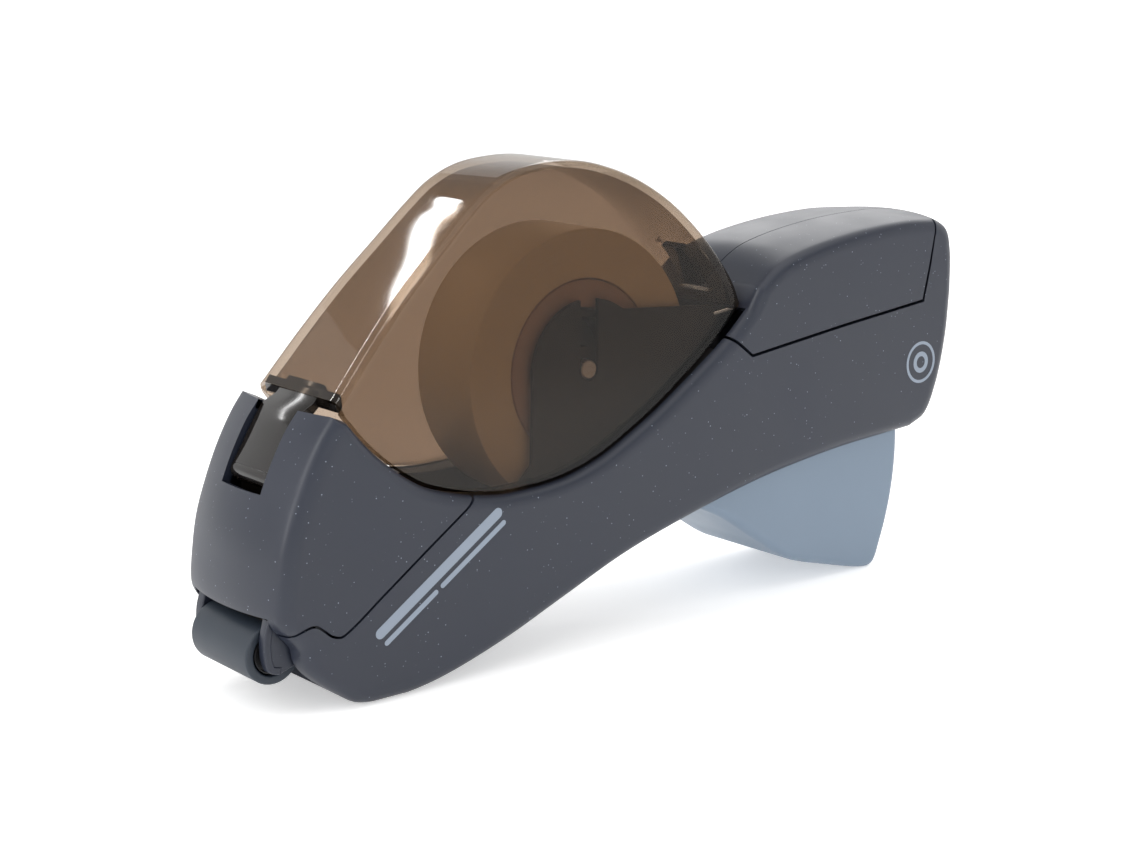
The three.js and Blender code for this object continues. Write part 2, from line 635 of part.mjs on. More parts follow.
const TONGUE = [
  [15.4, 49], [12.4, 46], [9.1, 44.4], [6.6, 40.6], [4.2, 36.6], [2.5, 33.8], [5.6, 33.8], [7, 36.2],
  [9.4, 39.8], [12.4, 43.4], [16.4, 47],
];

/** Cover moulding: tapered shell, front tongue with its hinge knuckle and the window round the latch tab. */
function smokedCover() {
  const rim = offset(smooth(COVER_EDGE), -0.1);
  const crest = smooth(COVER_CREST);
  const middle = (COVER_HALF_LOW + COVER_HALF_TOP) / 2;
  const outer = solid(taper(slabGeometry([...crest, ...rim], -middle, middle, 2.2)));
  const under = offset(crest, -COVER_WALL).slice(1);
  const inner = middle - COVER_WALL;
  const room = [[15, 10], [15, 46.2], ...under.slice(0, -1), [115.4, 54.8], [114.4, 10]];
  const hollow = solid(taper(slabGeometry(room, -inner, inner)));
  const knuckle = rod(COVER_HINGE, 2.3, -TONGUE_HALF, TONGUE_HALF);
  const tongue = slab(TONGUE, -TONGUE_HALF, TONGUE_HALF).add(knuckle);
  const window = slab([[105, 67.9], [113, 67.9], [120, 57], [111, 57]], -LATCH_HALF - 1.5, LATCH_HALF + 1.5);
  return bored(outer.subtract(hollow).subtract(window).add(tongue), COVER_HINGE, 1.2);
}

/** Springy thumb tab in the cover's rear slope, with grip ridges. */
function latchTab() {
  const slope = smooth([[110.2, 67.4], [112.3, 65.1], [114.2, 62.4], [116, 59.3], [116.4, 58.3]], 2);
  const outline = [...slope, ...offset(slope, -1.5).reverse()];
  let made = slab(outline, -LATCH_HALF, LATCH_HALF);
  for (const [x, z] of [[111.5, 66.2], [113, 64.2], [114.3, 62.2], [115.5, 60.2]]) {
    made = made.add(rod([x, z], 0.55, -LATCH_HALF + 0.5, LATCH_HALF - 0.5, 10));
  }
  return made;
}

piece('smoked_cover', smokedCover(), SMOKE());
piece('cover_latch_tab', latchTab(), SMOKE());
piece('cover_hinge_pin', rod(COVER_HINGE, PIN_R, -9.4, 9.4), STEEL());

export default group;
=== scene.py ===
"""Hand-held tape dispenser: its visible surfaces, finishes and stage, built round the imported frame."""

import json
import math

import bmesh
import bpy
import numpy as np
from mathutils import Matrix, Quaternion, Vector

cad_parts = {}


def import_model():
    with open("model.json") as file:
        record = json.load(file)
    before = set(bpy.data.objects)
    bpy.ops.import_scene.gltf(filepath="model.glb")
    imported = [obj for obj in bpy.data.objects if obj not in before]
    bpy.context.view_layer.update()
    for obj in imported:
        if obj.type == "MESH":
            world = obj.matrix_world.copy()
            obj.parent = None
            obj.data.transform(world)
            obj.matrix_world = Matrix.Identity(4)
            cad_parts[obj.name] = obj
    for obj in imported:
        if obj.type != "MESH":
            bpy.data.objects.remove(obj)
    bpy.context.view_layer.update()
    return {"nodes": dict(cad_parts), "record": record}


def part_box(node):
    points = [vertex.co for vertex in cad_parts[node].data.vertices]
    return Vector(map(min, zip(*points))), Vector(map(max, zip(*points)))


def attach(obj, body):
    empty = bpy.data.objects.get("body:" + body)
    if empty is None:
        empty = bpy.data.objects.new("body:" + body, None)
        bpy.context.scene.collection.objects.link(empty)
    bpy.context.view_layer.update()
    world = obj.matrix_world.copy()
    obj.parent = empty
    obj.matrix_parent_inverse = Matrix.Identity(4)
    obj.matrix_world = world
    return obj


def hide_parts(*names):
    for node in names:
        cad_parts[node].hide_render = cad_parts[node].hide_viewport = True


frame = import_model()

bl_info = {
    "name": "Tape dispenser",
    "version": (1, 0, 0),
    "blender": (4, 5, 0),
    "location": "View3D > Sidebar > Dispenser",
    "description": "Builds the visible surfaces of a hand-held tape dispenser",
    "category": "Object",
}

MM = 0.001
MERGE = 2e-6  # points closer than this are one point
BODY_HALF = 17.97  # half the housing's width, mm, less the height of a printed mark
BODY_EDGE = 2.6  # rounding of the housing's long edges
WALL = 1.8
COVER_WALL = 1.6
COVER_EDGE_R = 2.2
COVER_HALF = 13.5  # the cover's half width before its taper
COVER_SEAT = 25.0  # height of the cover's lowest edge, and how far its crest stands above that
COVER_RISE = 63.0
COVER_TAPER = 2.1  # the cover is this much wider at its lowest edge, and this much narrower at its crest
COVER_INNER_R = 0.9  # rounding inside the cover's crease
COVER_RIM_STOP = 12.0  # where the cover's cut lower edge ends on its way to the middle
NOSE_BULGE = 3.0  # how far the housing's middle stands ahead of, behind and above its sides
REAR_BULGE = 4.2
TOP_BULGE = 1.2
ARM_IN, ARM_OUT, RIB_IN, RIB_OUT = 10.6, 12.7, 12.3, 12.9  # the roller arms' and their ribs' faces
MOUTH_HALF = BODY_HALF - WALL  # half width of the opening under the cover
PART_Y = 0.12  # half the gap between the casing halves
BELLY_LOW = -12.0  # the flat the housing rests on, below the press roller's axis


def axis_of(node):
    """Middle of a CAD node's box, seen from the side, in metres."""
    low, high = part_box(node)
    return (low.x + high.x) / 2, (low.z + high.z) / 2


ROLLER_X, ROLLER_Z = axis_of("press_roller_sleeve")


def sketch_axis(node):
    """Middle of a CAD node seen from the side, in the sketch's millimetres from the press roller's axis."""
    x, z = axis_of(node)
    return (x - ROLLER_X) / MM, (z - ROLLER_Z) / MM


# ---------------------------------------------------------------- sketch lines
# Side-view points in millimetres from the press roller's axis.

NOSE_FRONT = [
    (0.3, 5.0), (-0.6, 6), (-1.6, 8), (-1.8, 10), (-1.2, 16), (-0.1, 22), (1.9, 28), (5.0, 35.2),
    (8.4, 41.2), (11.2, 45),
]
BELLY = [
    (0.7, 4.5), (1, 4), (2.9, 1.6), (3.3, -0.6), (4.4, -3.1), (6.9, -6), (10.6, -9), (14, -11.2),
    (18, -12), (26, -12), (35, -10.6), (50, -6.2), (65.4, -0.3), (81.5, 5.8), (101, 11.2), (122, 15.8),
    (144, 18.8), (160, 20), (169.5, 20.6),
]
REAR_LOW = [(169.5, 20.6), (174.6, 23), (178.3, 30), (181, 41), (182, 52)]
REAR_TOP = [(182, 52), (181.6, 61), (180, 66), (176, 68.4), (175.6, 68.5)]
HANDLE_TOP = [(119.8, 58.6), (125, 62.2), (134.5, 65.2), (150.4, 67.8), (167, 68.9), (175.6, 68.5)]
COVER_RIM = [
    (14.4, 44.3), (18.4, 39.4), (21.7, 36.1), (26.2, 32.4), (30.8, 29.5), (35.5, 27.6), (40.3, 26.2),
    (45.2, 25.2), (50.2, 24.6), (55.2, 24.6), (60.3, 24.8), (65.5, 25.4), (70.8, 26.7), (76.2, 28.6),
    (83, 31.9), (89.9, 35.6), (96.9, 40), (104, 44.7), (110.8, 49.6), (116.4, 54.6),
]
COVER_CREST = [
    (13.2, 47), (21.5, 56.4), (30, 65.3), (38.3, 72.9), (45.8, 79.6), (51.4, 83.9), (58, 86.8), (66, 88),
    (74.5, 87.9), (83, 86), (91.5, 82.6), (99.5, 77.8), (106.5, 71.8), (112.4, 65.2), (116.2, 59.4),
    (117.6, 55.6),
]
PARTING = [
    (0.5, 4.8), (2.2, 6.0), (4.6, 6.3), (6.6, 5), (8.2, 3.7), (10.2, 3.1), (12.4, 4.1), (20.2, 9.5),
    (30.8, 16.8), (41.7, 24.2), (42.8, 24.93),
]
TONGUE = [
    (15.4, 49), (12.4, 46), (9.1, 44.4), (6.6, 40.6), (4.2, 36.6), (2.5, 33.8), (5.6, 33.8), (7, 36.2),
    (9.4, 39.8), (12.4, 43.4), (16.4, 47),
]


# ---------------------------------------------------------------- curve helpers

def even(points, count):
    """Points equally far apart along a line: position is interpolated over the distance run."""
    points = np.asarray(points, float)
    run = np.r_[0, np.cumsum(np.linalg.norm(np.diff(points, axis=0), axis=1))]
    at = np.linspace(0, run[-1], count)
    return np.stack([np.interp(at, run, points[:, 0]), np.interp(at, run, points[:, 1])], 1)


def smooth(points, count=None):
    """Centripetal Catmull-Rom curve: a cubic in each stretch, slopes weighed by the root of its length."""
    p = np.asarray(points, float)
    p = np.vstack([2 * p[0] - p[1], p, 2 * p[-1] - p[-2]])
    step = np.maximum(np.sqrt(np.linalg.norm(np.diff(p, axis=0), axis=1)), 1e-4)[:, None]
    before, here, after = step[:-2], step[1:-1], step[2:]
    p0, p1, p2, p3 = p[:-3], p[1:-2], p[2:-1], p[3:]
    t1 = ((p1 - p0) / before - (p2 - p0) / (before + here) + (p2 - p1) / here) * here
    t2 = ((p2 - p1) / here - (p3 - p1) / (here + after) + (p3 - p2) / after) * here
    u = np.linspace(0, 1, 20, endpoint=False)[None, :, None]
    a = (2 * p1 - 2 * p2 + t1 + t2)[:, None]
    b = (-3 * p1 + 3 * p2 - 2 * t1 - t2)[:, None]
    curve = (((a * u + b) * u + t1[:, None]) * u + p1[:, None]).reshape(-1, 2)
    curve = np.vstack([curve, p2[-1:]])
    return curve if count is None else even(curve, count)


def between(points, start, end):
    """The stretch of a line between the points nearest to start and to end."""
    points = np.asarray(points, float)
    near = [int(np.argmin(np.linalg.norm(points - np.asarray(p, float), axis=1))) for p in (start, end)]
    piece = points[min(near):max(near) + 1]
    return piece if near[0] <= near[1] else piece[::-1]


def left_of(points):
    """Unit normals to the left of a line's run, from central differences."""
    run = np.gradient(np.asarray(points, float), axis=0)
    run /= np.maximum(np.linalg.norm(run, axis=1, keepdims=True), 1e-9)
    return np.stack([-run[:, 1], run[:, 0]], 1)


def arc(centre, radius, start, end, count=24):
    """Points on a circle, angles in degrees."""
    angle = np.radians(np.linspace(start, end, count))
    return np.stack([centre[0] + radius * np.cos(angle), centre[1] + radius * np.sin(angle)], 1)


def depth_from(points, line):
    """Distance from each point to the nearest stretch of a line."""
    shape = points.shape[:-1]
    p = points.reshape(-1, 1, 2)
    a, b = line[None, :-1], line[None, 1:]
    d = b - a
    t = np.clip(((p - a) * d).sum(2) / np.maximum((d * d).sum(2), 1e-9), 0, 1)
    gap = p - a - d * t[..., None]
    return np.sqrt((gap ** 2).sum(2)).min(1).reshape(shape)


def rounded(depth, radius):
    """How far a rounded edge has come out at a depth from its outline: a quarter circle, then flat."""
    return np.sqrt(np.maximum(radius ** 2 - np.maximum(radius - depth, 0) ** 2, 0))


def ease(value, full, none):
    """Smoothstep from 0 at none to 1 at full."""
    t = np.clip((value - none) / (full - none), 0, 1)
    return t * t * (3 - 2 * t)


def crown(points):
    """Bulges the housing by a parabola over its width: nose forwards, rear end back, handle top up."""
    x, y, z = points[..., 0], points[..., 1], points[..., 2]
    middle = 1 - (y / BODY_HALF) ** 2
    shift = REAR_BULGE * ease(x, 180, 150) - NOSE_BULGE * ease(x, 8, 26) * ease(z, 0, -10)
    lift = TOP_BULGE * ease(z, 62, 50) * ease(x, 132, 120)
    return np.stack([x + shift * middle, y, z + lift * middle], -1)


# ---------------------------------------------------------------- mesh helpers

def world(points):
    """Sketch millimetres (x, y, z) to metres in the part's frame."""
    return np.asarray(points, float) * MM + np.array([ROLLER_X, 0, ROLLER_Z])


def grid_faces(rows, columns, close_rows=False, close_columns=True):
    """Quads of a grid whose points are numbered row by row."""
    r = np.arange(rows if close_rows else rows - 1)[:, None]
    c = np.arange(columns if close_columns else columns - 1)[None, :]
    r2, c2 = (r + 1) % rows, (c + 1) % columns
    quads = np.stack([r * columns + c, r * columns + c2, r2 * columns + c2, r2 * columns + c], -1)
    return quads.reshape(-1, 4).tolist()


def build(name, parts, sharp=32, bevel=0.0, join_middle=False):
    """One mesh object from (points, faces) parts in sketch millimetres, each put in whole by from_pydata.

    Each part's doubles are merged and its faces turned outwards by the sign of its enclosed volume.
    join_middle drops the faces that lie in the middle plane, so that two mirrored halves become one body.
    """
    whole = bmesh.new()
    for points, faces in parts:
        if join_middle:
            off_middle = np.abs(points[:, 1]) > MERGE / MM
            faces = [face for face in faces if off_middle[face].any()]
        held = bpy.data.meshes.new("held")
        held.from_pydata(world(points), [], faces)
        bm = bmesh.new()
        bm.from_mesh(held)
        bmesh.ops.remove_doubles(bm, verts=bm.verts, dist=MERGE)
        bmesh.ops.dissolve_degenerate(bm, edges=bm.edges, dist=MERGE)
        loose = [v for v in bm.verts if not v.link_faces]
        bmesh.ops.delete(bm, geom=loose, context="VERTS")
        if bm.calc_volume(signed=True) < 0:
            bmesh.ops.reverse_faces(bm, faces=bm.faces)
        bm.to_mesh(held)
        bm.free()
        whole.from_mesh(held)
        bpy.data.meshes.remove(held)
    mesh = bpy.data.meshes.new(name)
    whole.to_mesh(mesh)
    whole.free()
    mesh.polygons.foreach_set("use_smooth", np.ones(len(mesh.polygons), bool))
    mesh.set_sharp_from_angle(angle=math.radians(sharp))
    piece = bpy.data.objects.new(name, mesh)
    bpy.context.scene.collection.objects.link(piece)
    if bevel:
        edge = piece.modifiers.new("edge", "BEVEL")
        edge.width = bevel * MM
        edge.segments = 2
        edge.limit_method = "ANGLE"
        edge.angle_limit = math.radians(38)
        edge.harden_normals = True
    return piece


def place(piece, body, slot, material, *replaced):
    """Rides a piece on its body, gives it its finish and hides the CAD nodes it stands for."""
    piece.data.materials.clear()
    piece.data.materials.append(material)
    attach(piece, body)
    if replaced:
        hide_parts(*replaced)
    return piece


def shell_half(stations, outer_width, inner_width, wall, shape=None, side=-1):
    """One side of a thin-walled body, as (points, faces).

    stations is a list of (lower line, upper line, low stop, high stop, low cut, high cut). At each station
    a closed section runs out along the lower line, up the side face, in along the upper line, and back
    inside the wall. The side's half width comes from outer_width(x, z), a stop is where a run ends before
    the middle, and a cut edge has its inner line in the same place as its outer one.
    """
    lower, upper, low_stop, high_stop, low_cut, high_cut = [], [], [], [], [], []
    for low, high, stop_low, stop_high, cut_low, cut_high in stations:
        count = len(low)
        lower.append(low)
        upper.append(high)
        low_stop.append(np.full(count, stop_low))
        high_stop.append(np.full(count, stop_high))
        low_cut.append(np.full(count, cut_low))
        high_cut.append(np.full(count, cut_high))
    inner_low = [l + left_of(l) * (0 if c[0] else wall) for l, c in zip(lower, low_cut)]
    inner_high = [u - left_of(u) * (0 if c[0] else wall) for u, c in zip(upper, high_cut)]
    low, high = np.vstack(lower), np.vstack(upper)
    in_low, in_high = np.vstack(inner_low), np.vstack(inner_high)
    stop_low, stop_high = np.concatenate(low_stop)[:, None], np.concatenate(high_stop)[:, None]
    crossed = ((in_high - in_low) * (high - low)).sum(1) <= 0
    middle = (low + high) / 2
    in_low = np.where(crossed[:, None], middle, in_low)
    in_high = np.where(crossed[:, None], middle, in_high)

    length = np.maximum(np.linalg.norm(high - low, axis=1), 1e-6)[:, None]
    near = np.minimum(BODY_EDGE, length / 2) / length
    curl = 1 - np.cos(np.radians(np.linspace(0, 90, 8)))
    flat = np.linspace(0, 1, 22)[1:-1]
    t = np.hstack([near * curl, near + (1 - 2 * near) * flat, 1 - near * curl[::-1]])[..., None]
    side_line = low[:, None] * (1 - t) + high[:, None] * t
    side_y = outer_width(side_line)
    run = np.linspace(0, 1, 12)
    low_y0, high_y0 = side_y[:, :1], side_y[:, -1:]
    low_y = np.minimum(stop_low, low_y0 - 0.02) * (1 - run) + low_y0 * run
    high_y = high_y0 * (1 - run) + np.minimum(stop_high, high_y0 - 0.02) * run
    s = np.linspace(0, 1, 14)[:, None]
    back_line = in_high[:, None] * (1 - s) + in_low[:, None] * s
    back_y = inner_width(back_line)
    back_y = np.minimum(back_y, outer_width(back_line) - 0.05)
    in_high_y = np.minimum(stop_high, back_y[:, :1]) * (1 - run) + back_y[:, :1] * run
    in_low_y = back_y[:, -1:] * (1 - run) + np.minimum(stop_low, back_y[:, -1:]) * run

    def held(line, count):
        return np.repeat(line[:, None], count, axis=1)

    xz = np.concatenate([
        held(low, 11), side_line, held(high, 11), held(in_high, 11), back_line, held(in_low, 11),
    ], axis=1)
    y = np.concatenate([
        low_y[:, :-1], side_y, high_y[:, 1:], in_high_y[:, :-1], back_y, in_low_y[:, 1:],
    ], axis=1)
    points = np.stack([xz[..., 0], side * y, xz[..., 1]], -1)
    if shape is not None:
        points = shape(points)
    rows, columns = points.shape[:2]
    faces = grid_faces(rows, columns)
    faces.append(list(range(columns)))
    faces.append(list(range((rows - 1) * columns, rows * columns)))
    return points.reshape(-1, 3), faces


def slab(outline, low, high, edge=0.3, shape=None):
    """Plate between two widths: the outline is carried across, with a quarter circle at either face."""
    outline = np.asarray(outline, float)
    closed = np.vstack([outline[-1:], outline, outline[:1]])
    ahead = np.roll(outline, -1, axis=0)
    turn = np.sign(np.sum(outline[:, 0] * ahead[:, 1] - ahead[:, 0] * outline[:, 1]))
    inwards = left_of(closed)[1:-1] * turn
    angle = np.radians(np.linspace(0, 90, 5))
    inset = np.r_[edge * (1 - np.sin(angle)), (edge * (1 - np.sin(angle)))[::-1]]
    y = np.r_[low + edge * (1 - np.cos(angle)), (high - edge * (1 - np.cos(angle)))[::-1]]
    flat = outline[None] + inwards[None] * inset[:, None, None]
    across = np.broadcast_to(y[:, None, None], (len(y), len(outline), 1))
    points = np.concatenate([flat[..., :1], across, flat[..., 1:]], -1)
    if shape is not None:
        points = shape(points)
    rows, columns = points.shape[:2]
    faces = grid_faces(rows, columns)
    faces.append(list(range(columns)))
    faces.append(list(range((rows - 1) * columns, rows * columns)))
    return points.reshape(-1, 3), faces


def turned(centre, profile, sides=96):
    """Ring turned about an axis across the width from a closed profile of (radius, y) points."""
    profile = np.asarray(profile, float)
    angle = np.linspace(0, 2 * math.pi, sides, endpoint=False)[:, None]
    radius, y = profile[None, :, 0], profile[None, :, 1]
    across = np.broadcast_to(y, (sides, len(profile)))
    points = np.stack([centre[0] + radius * np.cos(angle), across, centre[1] + radius * np.sin(angle)], -1)
    return points.reshape(-1, 3), grid_faces(sides, len(profile), close_rows=True)


def ring_profile(inner, outer, low, high, edge):
    """Closed ring section whose four corners are quarter circles."""
    turns = [(outer - edge, low + edge, -90), (outer - edge, high - edge, 0), (inner + edge, high - edge, 90),
             (inner + edge, low + edge, 180)]
    return np.vstack([arc((r, y), edge, start, start + 90, 6) for r, y, start in turns])


def pin_profile(radius, low, high, edge):
    """Section of a solid round pin: a chamfered bar that starts and ends on its own axis."""
    rim = [(radius - edge, low), (radius, low + edge), (radius, high - edge), (radius - edge, high)]
    return [(1e-4, low), *rim, (1e-4, high)]


# ---------------------------------------------------------------- finishes

def linear(colour):
    """sRGB hex colour to linear red, green, blue and alpha."""
    parts = [int(colour[i:i + 2], 16) / 255 for i in (1, 3, 5)]
    return [c / 12.92 if c <= 0.04045 else ((c + 0.055) / 1.055) ** 2.4 for c in parts] + [1.0]


def node(tree, kind, links=None, values=None, **settings):
    """Adds a shader node, sets its settings and values, and links its inputs from (node, output) pairs."""
    made = tree.nodes.new(kind)
    for key, value in settings.items():
        setattr(made, key, value)
    for key, value in (values or {}).items():
        made.inputs[key].default_value = value
    for key, (source, output) in (links or {}).items():
        tree.links.new(source.outputs[output], made.inputs[key])
    return made


def blank(name):
    """An empty node material with Object coordinates and its output."""
    material = bpy.data.materials.new(name)
    material.use_nodes = True
    tree = material.node_tree
    tree.nodes.clear()
    where = node(tree, "ShaderNodeTexCoord")
    out = node(tree, "ShaderNodeOutputMaterial")
    return material, tree, where, out


def per_metre(size_mm):
    """Texture scale for a feature of this size."""
    return 1000.0 / size_mm


def noise(tree, source, size_mm, detail, **settings):
    """Noise with features of this size, read along one number in one dimension and from a point otherwise."""
    socket = "W" if settings else "Vector"
    values = {"Scale": per_metre(size_mm), "Detail": detail}
    return node(tree, "ShaderNodeTexNoise", {socket: source}, values, **settings)


def moulded(name, colour, light, roughness, fleck=None, grain=0.35, depth=0.012, ior=1.5):
    """Injection-moulded plastic: mottled colour, spark-eroded grain, and flecks if it has their colour."""
    material, tree, where, out = blank(name)
    cloud = noise(tree, (where, "Object"), 24, 3.0)
    tint = node(tree, "ShaderNodeMix", {"Factor": (cloud, "Fac")}, data_type="RGBA")
    tint.inputs["A"].default_value = linear(colour)
    tint.inputs["B"].default_value = linear(light)
    colour_out = (tint, "Result")
    rough = node(tree, "ShaderNodeMapRange", {"Value": (cloud, "Fac")},
                 {"From Min": 0.35, "From Max": 0.65, "To Min": roughness - 0.04, "To Max": roughness + 0.05})
    if fleck:
        cells = node(tree, "ShaderNodeTexVoronoi", {"Vector": (where, "Object")}, {"Scale": per_metre(0.6)})
        size = node(tree, "ShaderNodeMapRange", {"Value": (cells, "Distance")},
                    {"From Min": 0.26, "From Max": 0.16, "To Min": 0.0, "To Max": 1.0})
        pick = node(tree, "ShaderNodeSeparateColor", {"Color": (cells, "Color")})
        chosen = node(tree, "ShaderNodeMapRange", {"Value": (pick, "Red")},
                      {"From Min": 0.93, "From Max": 1.0, "To Min": 0.0, "To Max": 0.7})
        shown = {0: (size, "Result"), 1: (chosen, "Result")}
        both = node(tree, "ShaderNodeMath", shown, operation="MULTIPLY")
        tint = node(tree, "ShaderNodeMix", {"Factor": (both, "Value"), "A": colour_out}, data_type="RGBA")
        tint.inputs["B"].default_value = linear(fleck)
        colour_out = (tint, "Result")
    fine = noise(tree, (where, "Object"), grain, 2.0)
    bump = node(tree, "ShaderNodeBump", {"Height": (fine, "Fac")}, {"Strength": 0.35, "Distance": depth * MM})
    links = {"Base Color": colour_out, "Roughness": (rough, "Result"), "Normal": (bump, "Normal")}
    surface = node(tree, "ShaderNodeBsdfPrincipled", links, {"IOR": ior})
    tree.links.new(surface.outputs["BSDF"], out.inputs["Surface"])
    return material


def smoked_clear(name, tint, deep, roughness):
    """Polished smoked styrene: each face passes the tint, deeper where the view runs along the wall, under
    a gloss that grows with the fifth power of the glancing share."""
    material, tree, where, out = blank(name)
    wave = noise(tree, (where, "Object"), 30, 1.0)
    bump = node(tree, "ShaderNodeBump", {"Height": (wave, "Fac")}, {"Strength": 0.2, "Distance": 0.05 * MM})
    facing = node(tree, "ShaderNodeLayerWeight", values={"Blend": 0.5})
    along = node(tree, "ShaderNodeMapRange", {"Value": (facing, "Facing")},
                 {"From Min": 0.45, "From Max": 0.95, "To Min": 0.0, "To Max": 1.0})
    passed = node(tree, "ShaderNodeMix", {"Factor": (along, "Result")}, data_type="RGBA")
    passed.inputs["A"].default_value = linear(tint)
    passed.inputs["B"].default_value = linear(deep)
    through = node(tree, "ShaderNodeBsdfTransparent", {"Color": (passed, "Result")})
    gloss = node(tree, "ShaderNodeBsdfGlossy", {"Normal": (bump, "Normal")}, {"Roughness": roughness})
    glancing = node(tree, "ShaderNodeMath", {0: (facing, "Facing")}, {1: 5.0}, operation="POWER")
    share = node(tree, "ShaderNodeMapRange", {"Value": (glancing, "Value")},
                 {"To Min": 0.028, "To Max": 0.85})
    mixed = node(tree, "ShaderNodeMixShader",
                 {0: (share, "Result"), 1: (through, "BSDF"), 2: (gloss, "BSDF")})
    tree.links.new(mixed.outputs["Shader"], out.inputs["Surface"])
    return material


def drawn_steel(name, colour, roughness):
    """Bright zinc-plated steel: fine draw lines across the width that stretch the highlights."""
    material, tree, where, out = blank(name)
    stretch = node(tree, "ShaderNodeMapping", {"Vector": (where, "Object")}, {"Scale": (1.0, 0.06, 1.0)})
    lines = noise(tree, (stretch, "Vector"), 0.3, 2.0)
    rough = node(tree, "ShaderNodeMapRange", {"Value": (lines, "Fac")},
                 {"To Min": roughness - 0.06, "To Max": roughness + 0.1})
    bump = node(tree, "ShaderNodeBump", {"Height": (lines, "Fac")}, {"Strength": 0.2, "Distance": 0.01 * MM})
    links = {"Roughness": (rough, "Result"), "Normal": (bump, "Normal")}
    surface = node(tree, "ShaderNodeBsdfPrincipled", links, {"Base Color": linear(colour), "Metallic": 1.0})
    tree.links.new(surface.outputs["BSDF"], out.inputs["Surface"])
    return material


def wound(name, colour, light, roughness, layer_mm, centre_node):
    """Stock wound round the hub: rings at the layer spacing, counted from the hub's own axis."""
    material, tree, where, out = blank(name)
    x, z = axis_of(centre_node)
    from_axis = node(tree, "ShaderNodeMapping", {"Vector": (where, "Object")},
                     {"Location": (-x, 0, -z), "Scale": (1, 0, 1)})
    reach = node(tree, "ShaderNodeVectorMath", {0: (from_axis, "Vector")}, operation="LENGTH")
    rings = noise(tree, (reach, "Value"), layer_mm, 2.0, noise_dimensions="1D")
    tint = node(tree, "ShaderNodeMix", {"Factor": (rings, "Fac")}, data_type="RGBA")
    tint.inputs["A"].default_value = linear(colour)
    tint.inputs["B"].default_value = linear(light)
    bump = node(tree, "ShaderNodeBump", {"Height": (rings, "Fac")}, {"Strength": 0.4, "Distance": 0.05 * MM})
    links = {"Base Color": (tint, "Result"), "Normal": (bump, "Normal")}
    surface = node(tree, "ShaderNodeBsdfPrincipled", links, {"Roughness": roughness})
    tree.links.new(surface.outputs["BSDF"], out.inputs["Surface"])
    return material


class Finishes:
    """The dispenser's materials, made once and shared."""

    made = {}

    @classmethod
    def make(cls, looks):
        """Makes every finish from the panel's colours."""
        cls.made = {
            # Moulded ABS with mica: dark blue-grey that breaks into pale points
            "housing_plastic": moulded(
                "abs_slate_moulded_mica", looks.housing_colour, looks.housing_light, 0.4, fleck="#9AA4B4"),
            # Moulded acetal, carbon black: a quiet satin that stays dark under the cover
            "frame_plastic": moulded("acetal_black_moulded", "#101013", "#151518", 0.5, depth=0.0),
            # Polished smoked styrene: clear brown, hard reflections
            "smoked_plastic": smoked_clear("styrene_smoked_polished", looks.cover_tint, "#93836F", 0.03),
            # Polished dark styrene where the clear moulding is thick: close to black, hard reflections
            "smoked_thick": moulded("styrene_dark_polished", "#120F0D", "#191512", 0.08, depth=0.0),
            # Moulded ABS, satin: pale blue-grey with a soft roll of light
            "trigger_plastic": moulded(
                "abs_blue_moulded_satin", looks.trigger_colour, "#748495", 0.38, depth=0.004),
            # Moulded nitrile: smooth, slightly chalky
            "roller_rubber": moulded("nitrile_moulded", "#202832", "#27303B", 0.5, grain=0.6, depth=0.01),
            # Moulded nylon: milky grey
            "gear_nylon": moulded("nylon_moulded", "#8E9196", "#9EA1A5", 0.5),
            # Drawn steel, zinc plated: bright with fine lines
            "steel": drawn_steel("steel_drawn_zinc", "#C3C6CA", 0.28),
            # Wound clear film: warm tan in the stack, with faint rings
            "tape_film": wound("film_wound_acrylic", "#C9B288", "#E2D2AE", 0.3, 0.35, "hub_axle"),
            # Wound card: pinkish grey, matt
            "core_card": wound("card_wound", "#A88C78", "#BCA18D", 0.85, 0.8, "hub_axle"),
            # Screen-printed ink: pale blue-grey, flat
            "ink": moulded("ink_screen_printed", "#828D9B", "#8C96A4", 0.55, depth=0.0),
        }

    @classmethod
    def get(cls, name):
        """One finish by name."""
        return cls.made[name]


class DispenserLooks(bpy.types.PropertyGroup):
    """Colours that can be changed before the pieces are built."""

    housing_colour: bpy.props.StringProperty(
        name="Housing", description="Colour of the moulded housing, sRGB hex", default="#1D222E")
    housing_light: bpy.props.StringProperty(
        name="Housing, lighter", description="Colour that the housing's mottling drifts to, sRGB hex",
        default="#232836")
    trigger_colour: bpy.props.StringProperty(
        name="Trigger", description="Colour of the moulded trigger, sRGB hex", default="#6C7C8D")
    cover_tint: bpy.props.StringProperty(
        name="Cover tint", description="What one face of the smoked cover lets through, sRGB hex",
        default="#CDC2B7")


class DispenserSizes(bpy.types.PropertyGroup):
    """Sizes of the fine detail that can be changed before the pieces are built."""

    edge_break: bpy.props.FloatProperty(
        name="Edge break", description="Width of the small round on cut edges", default=0.22 * MM, min=0.0,
        max=0.6 * MM, unit="LENGTH")
    print_height: bpy.props.FloatProperty(
        name="Print height", description="How far the printed marks stand off the housing", default=0.03 * MM,
        min=0.01 * MM, max=0.2 * MM, unit="LENGTH")


# ---------------------------------------------------------------- housing

CLOSED = PART_Y
OPEN = MOUTH_HALF
ROLLER_MOUTH = 13.4
SLOT_HALF = 7.0
TRIGGER_MOUTH = 15.3


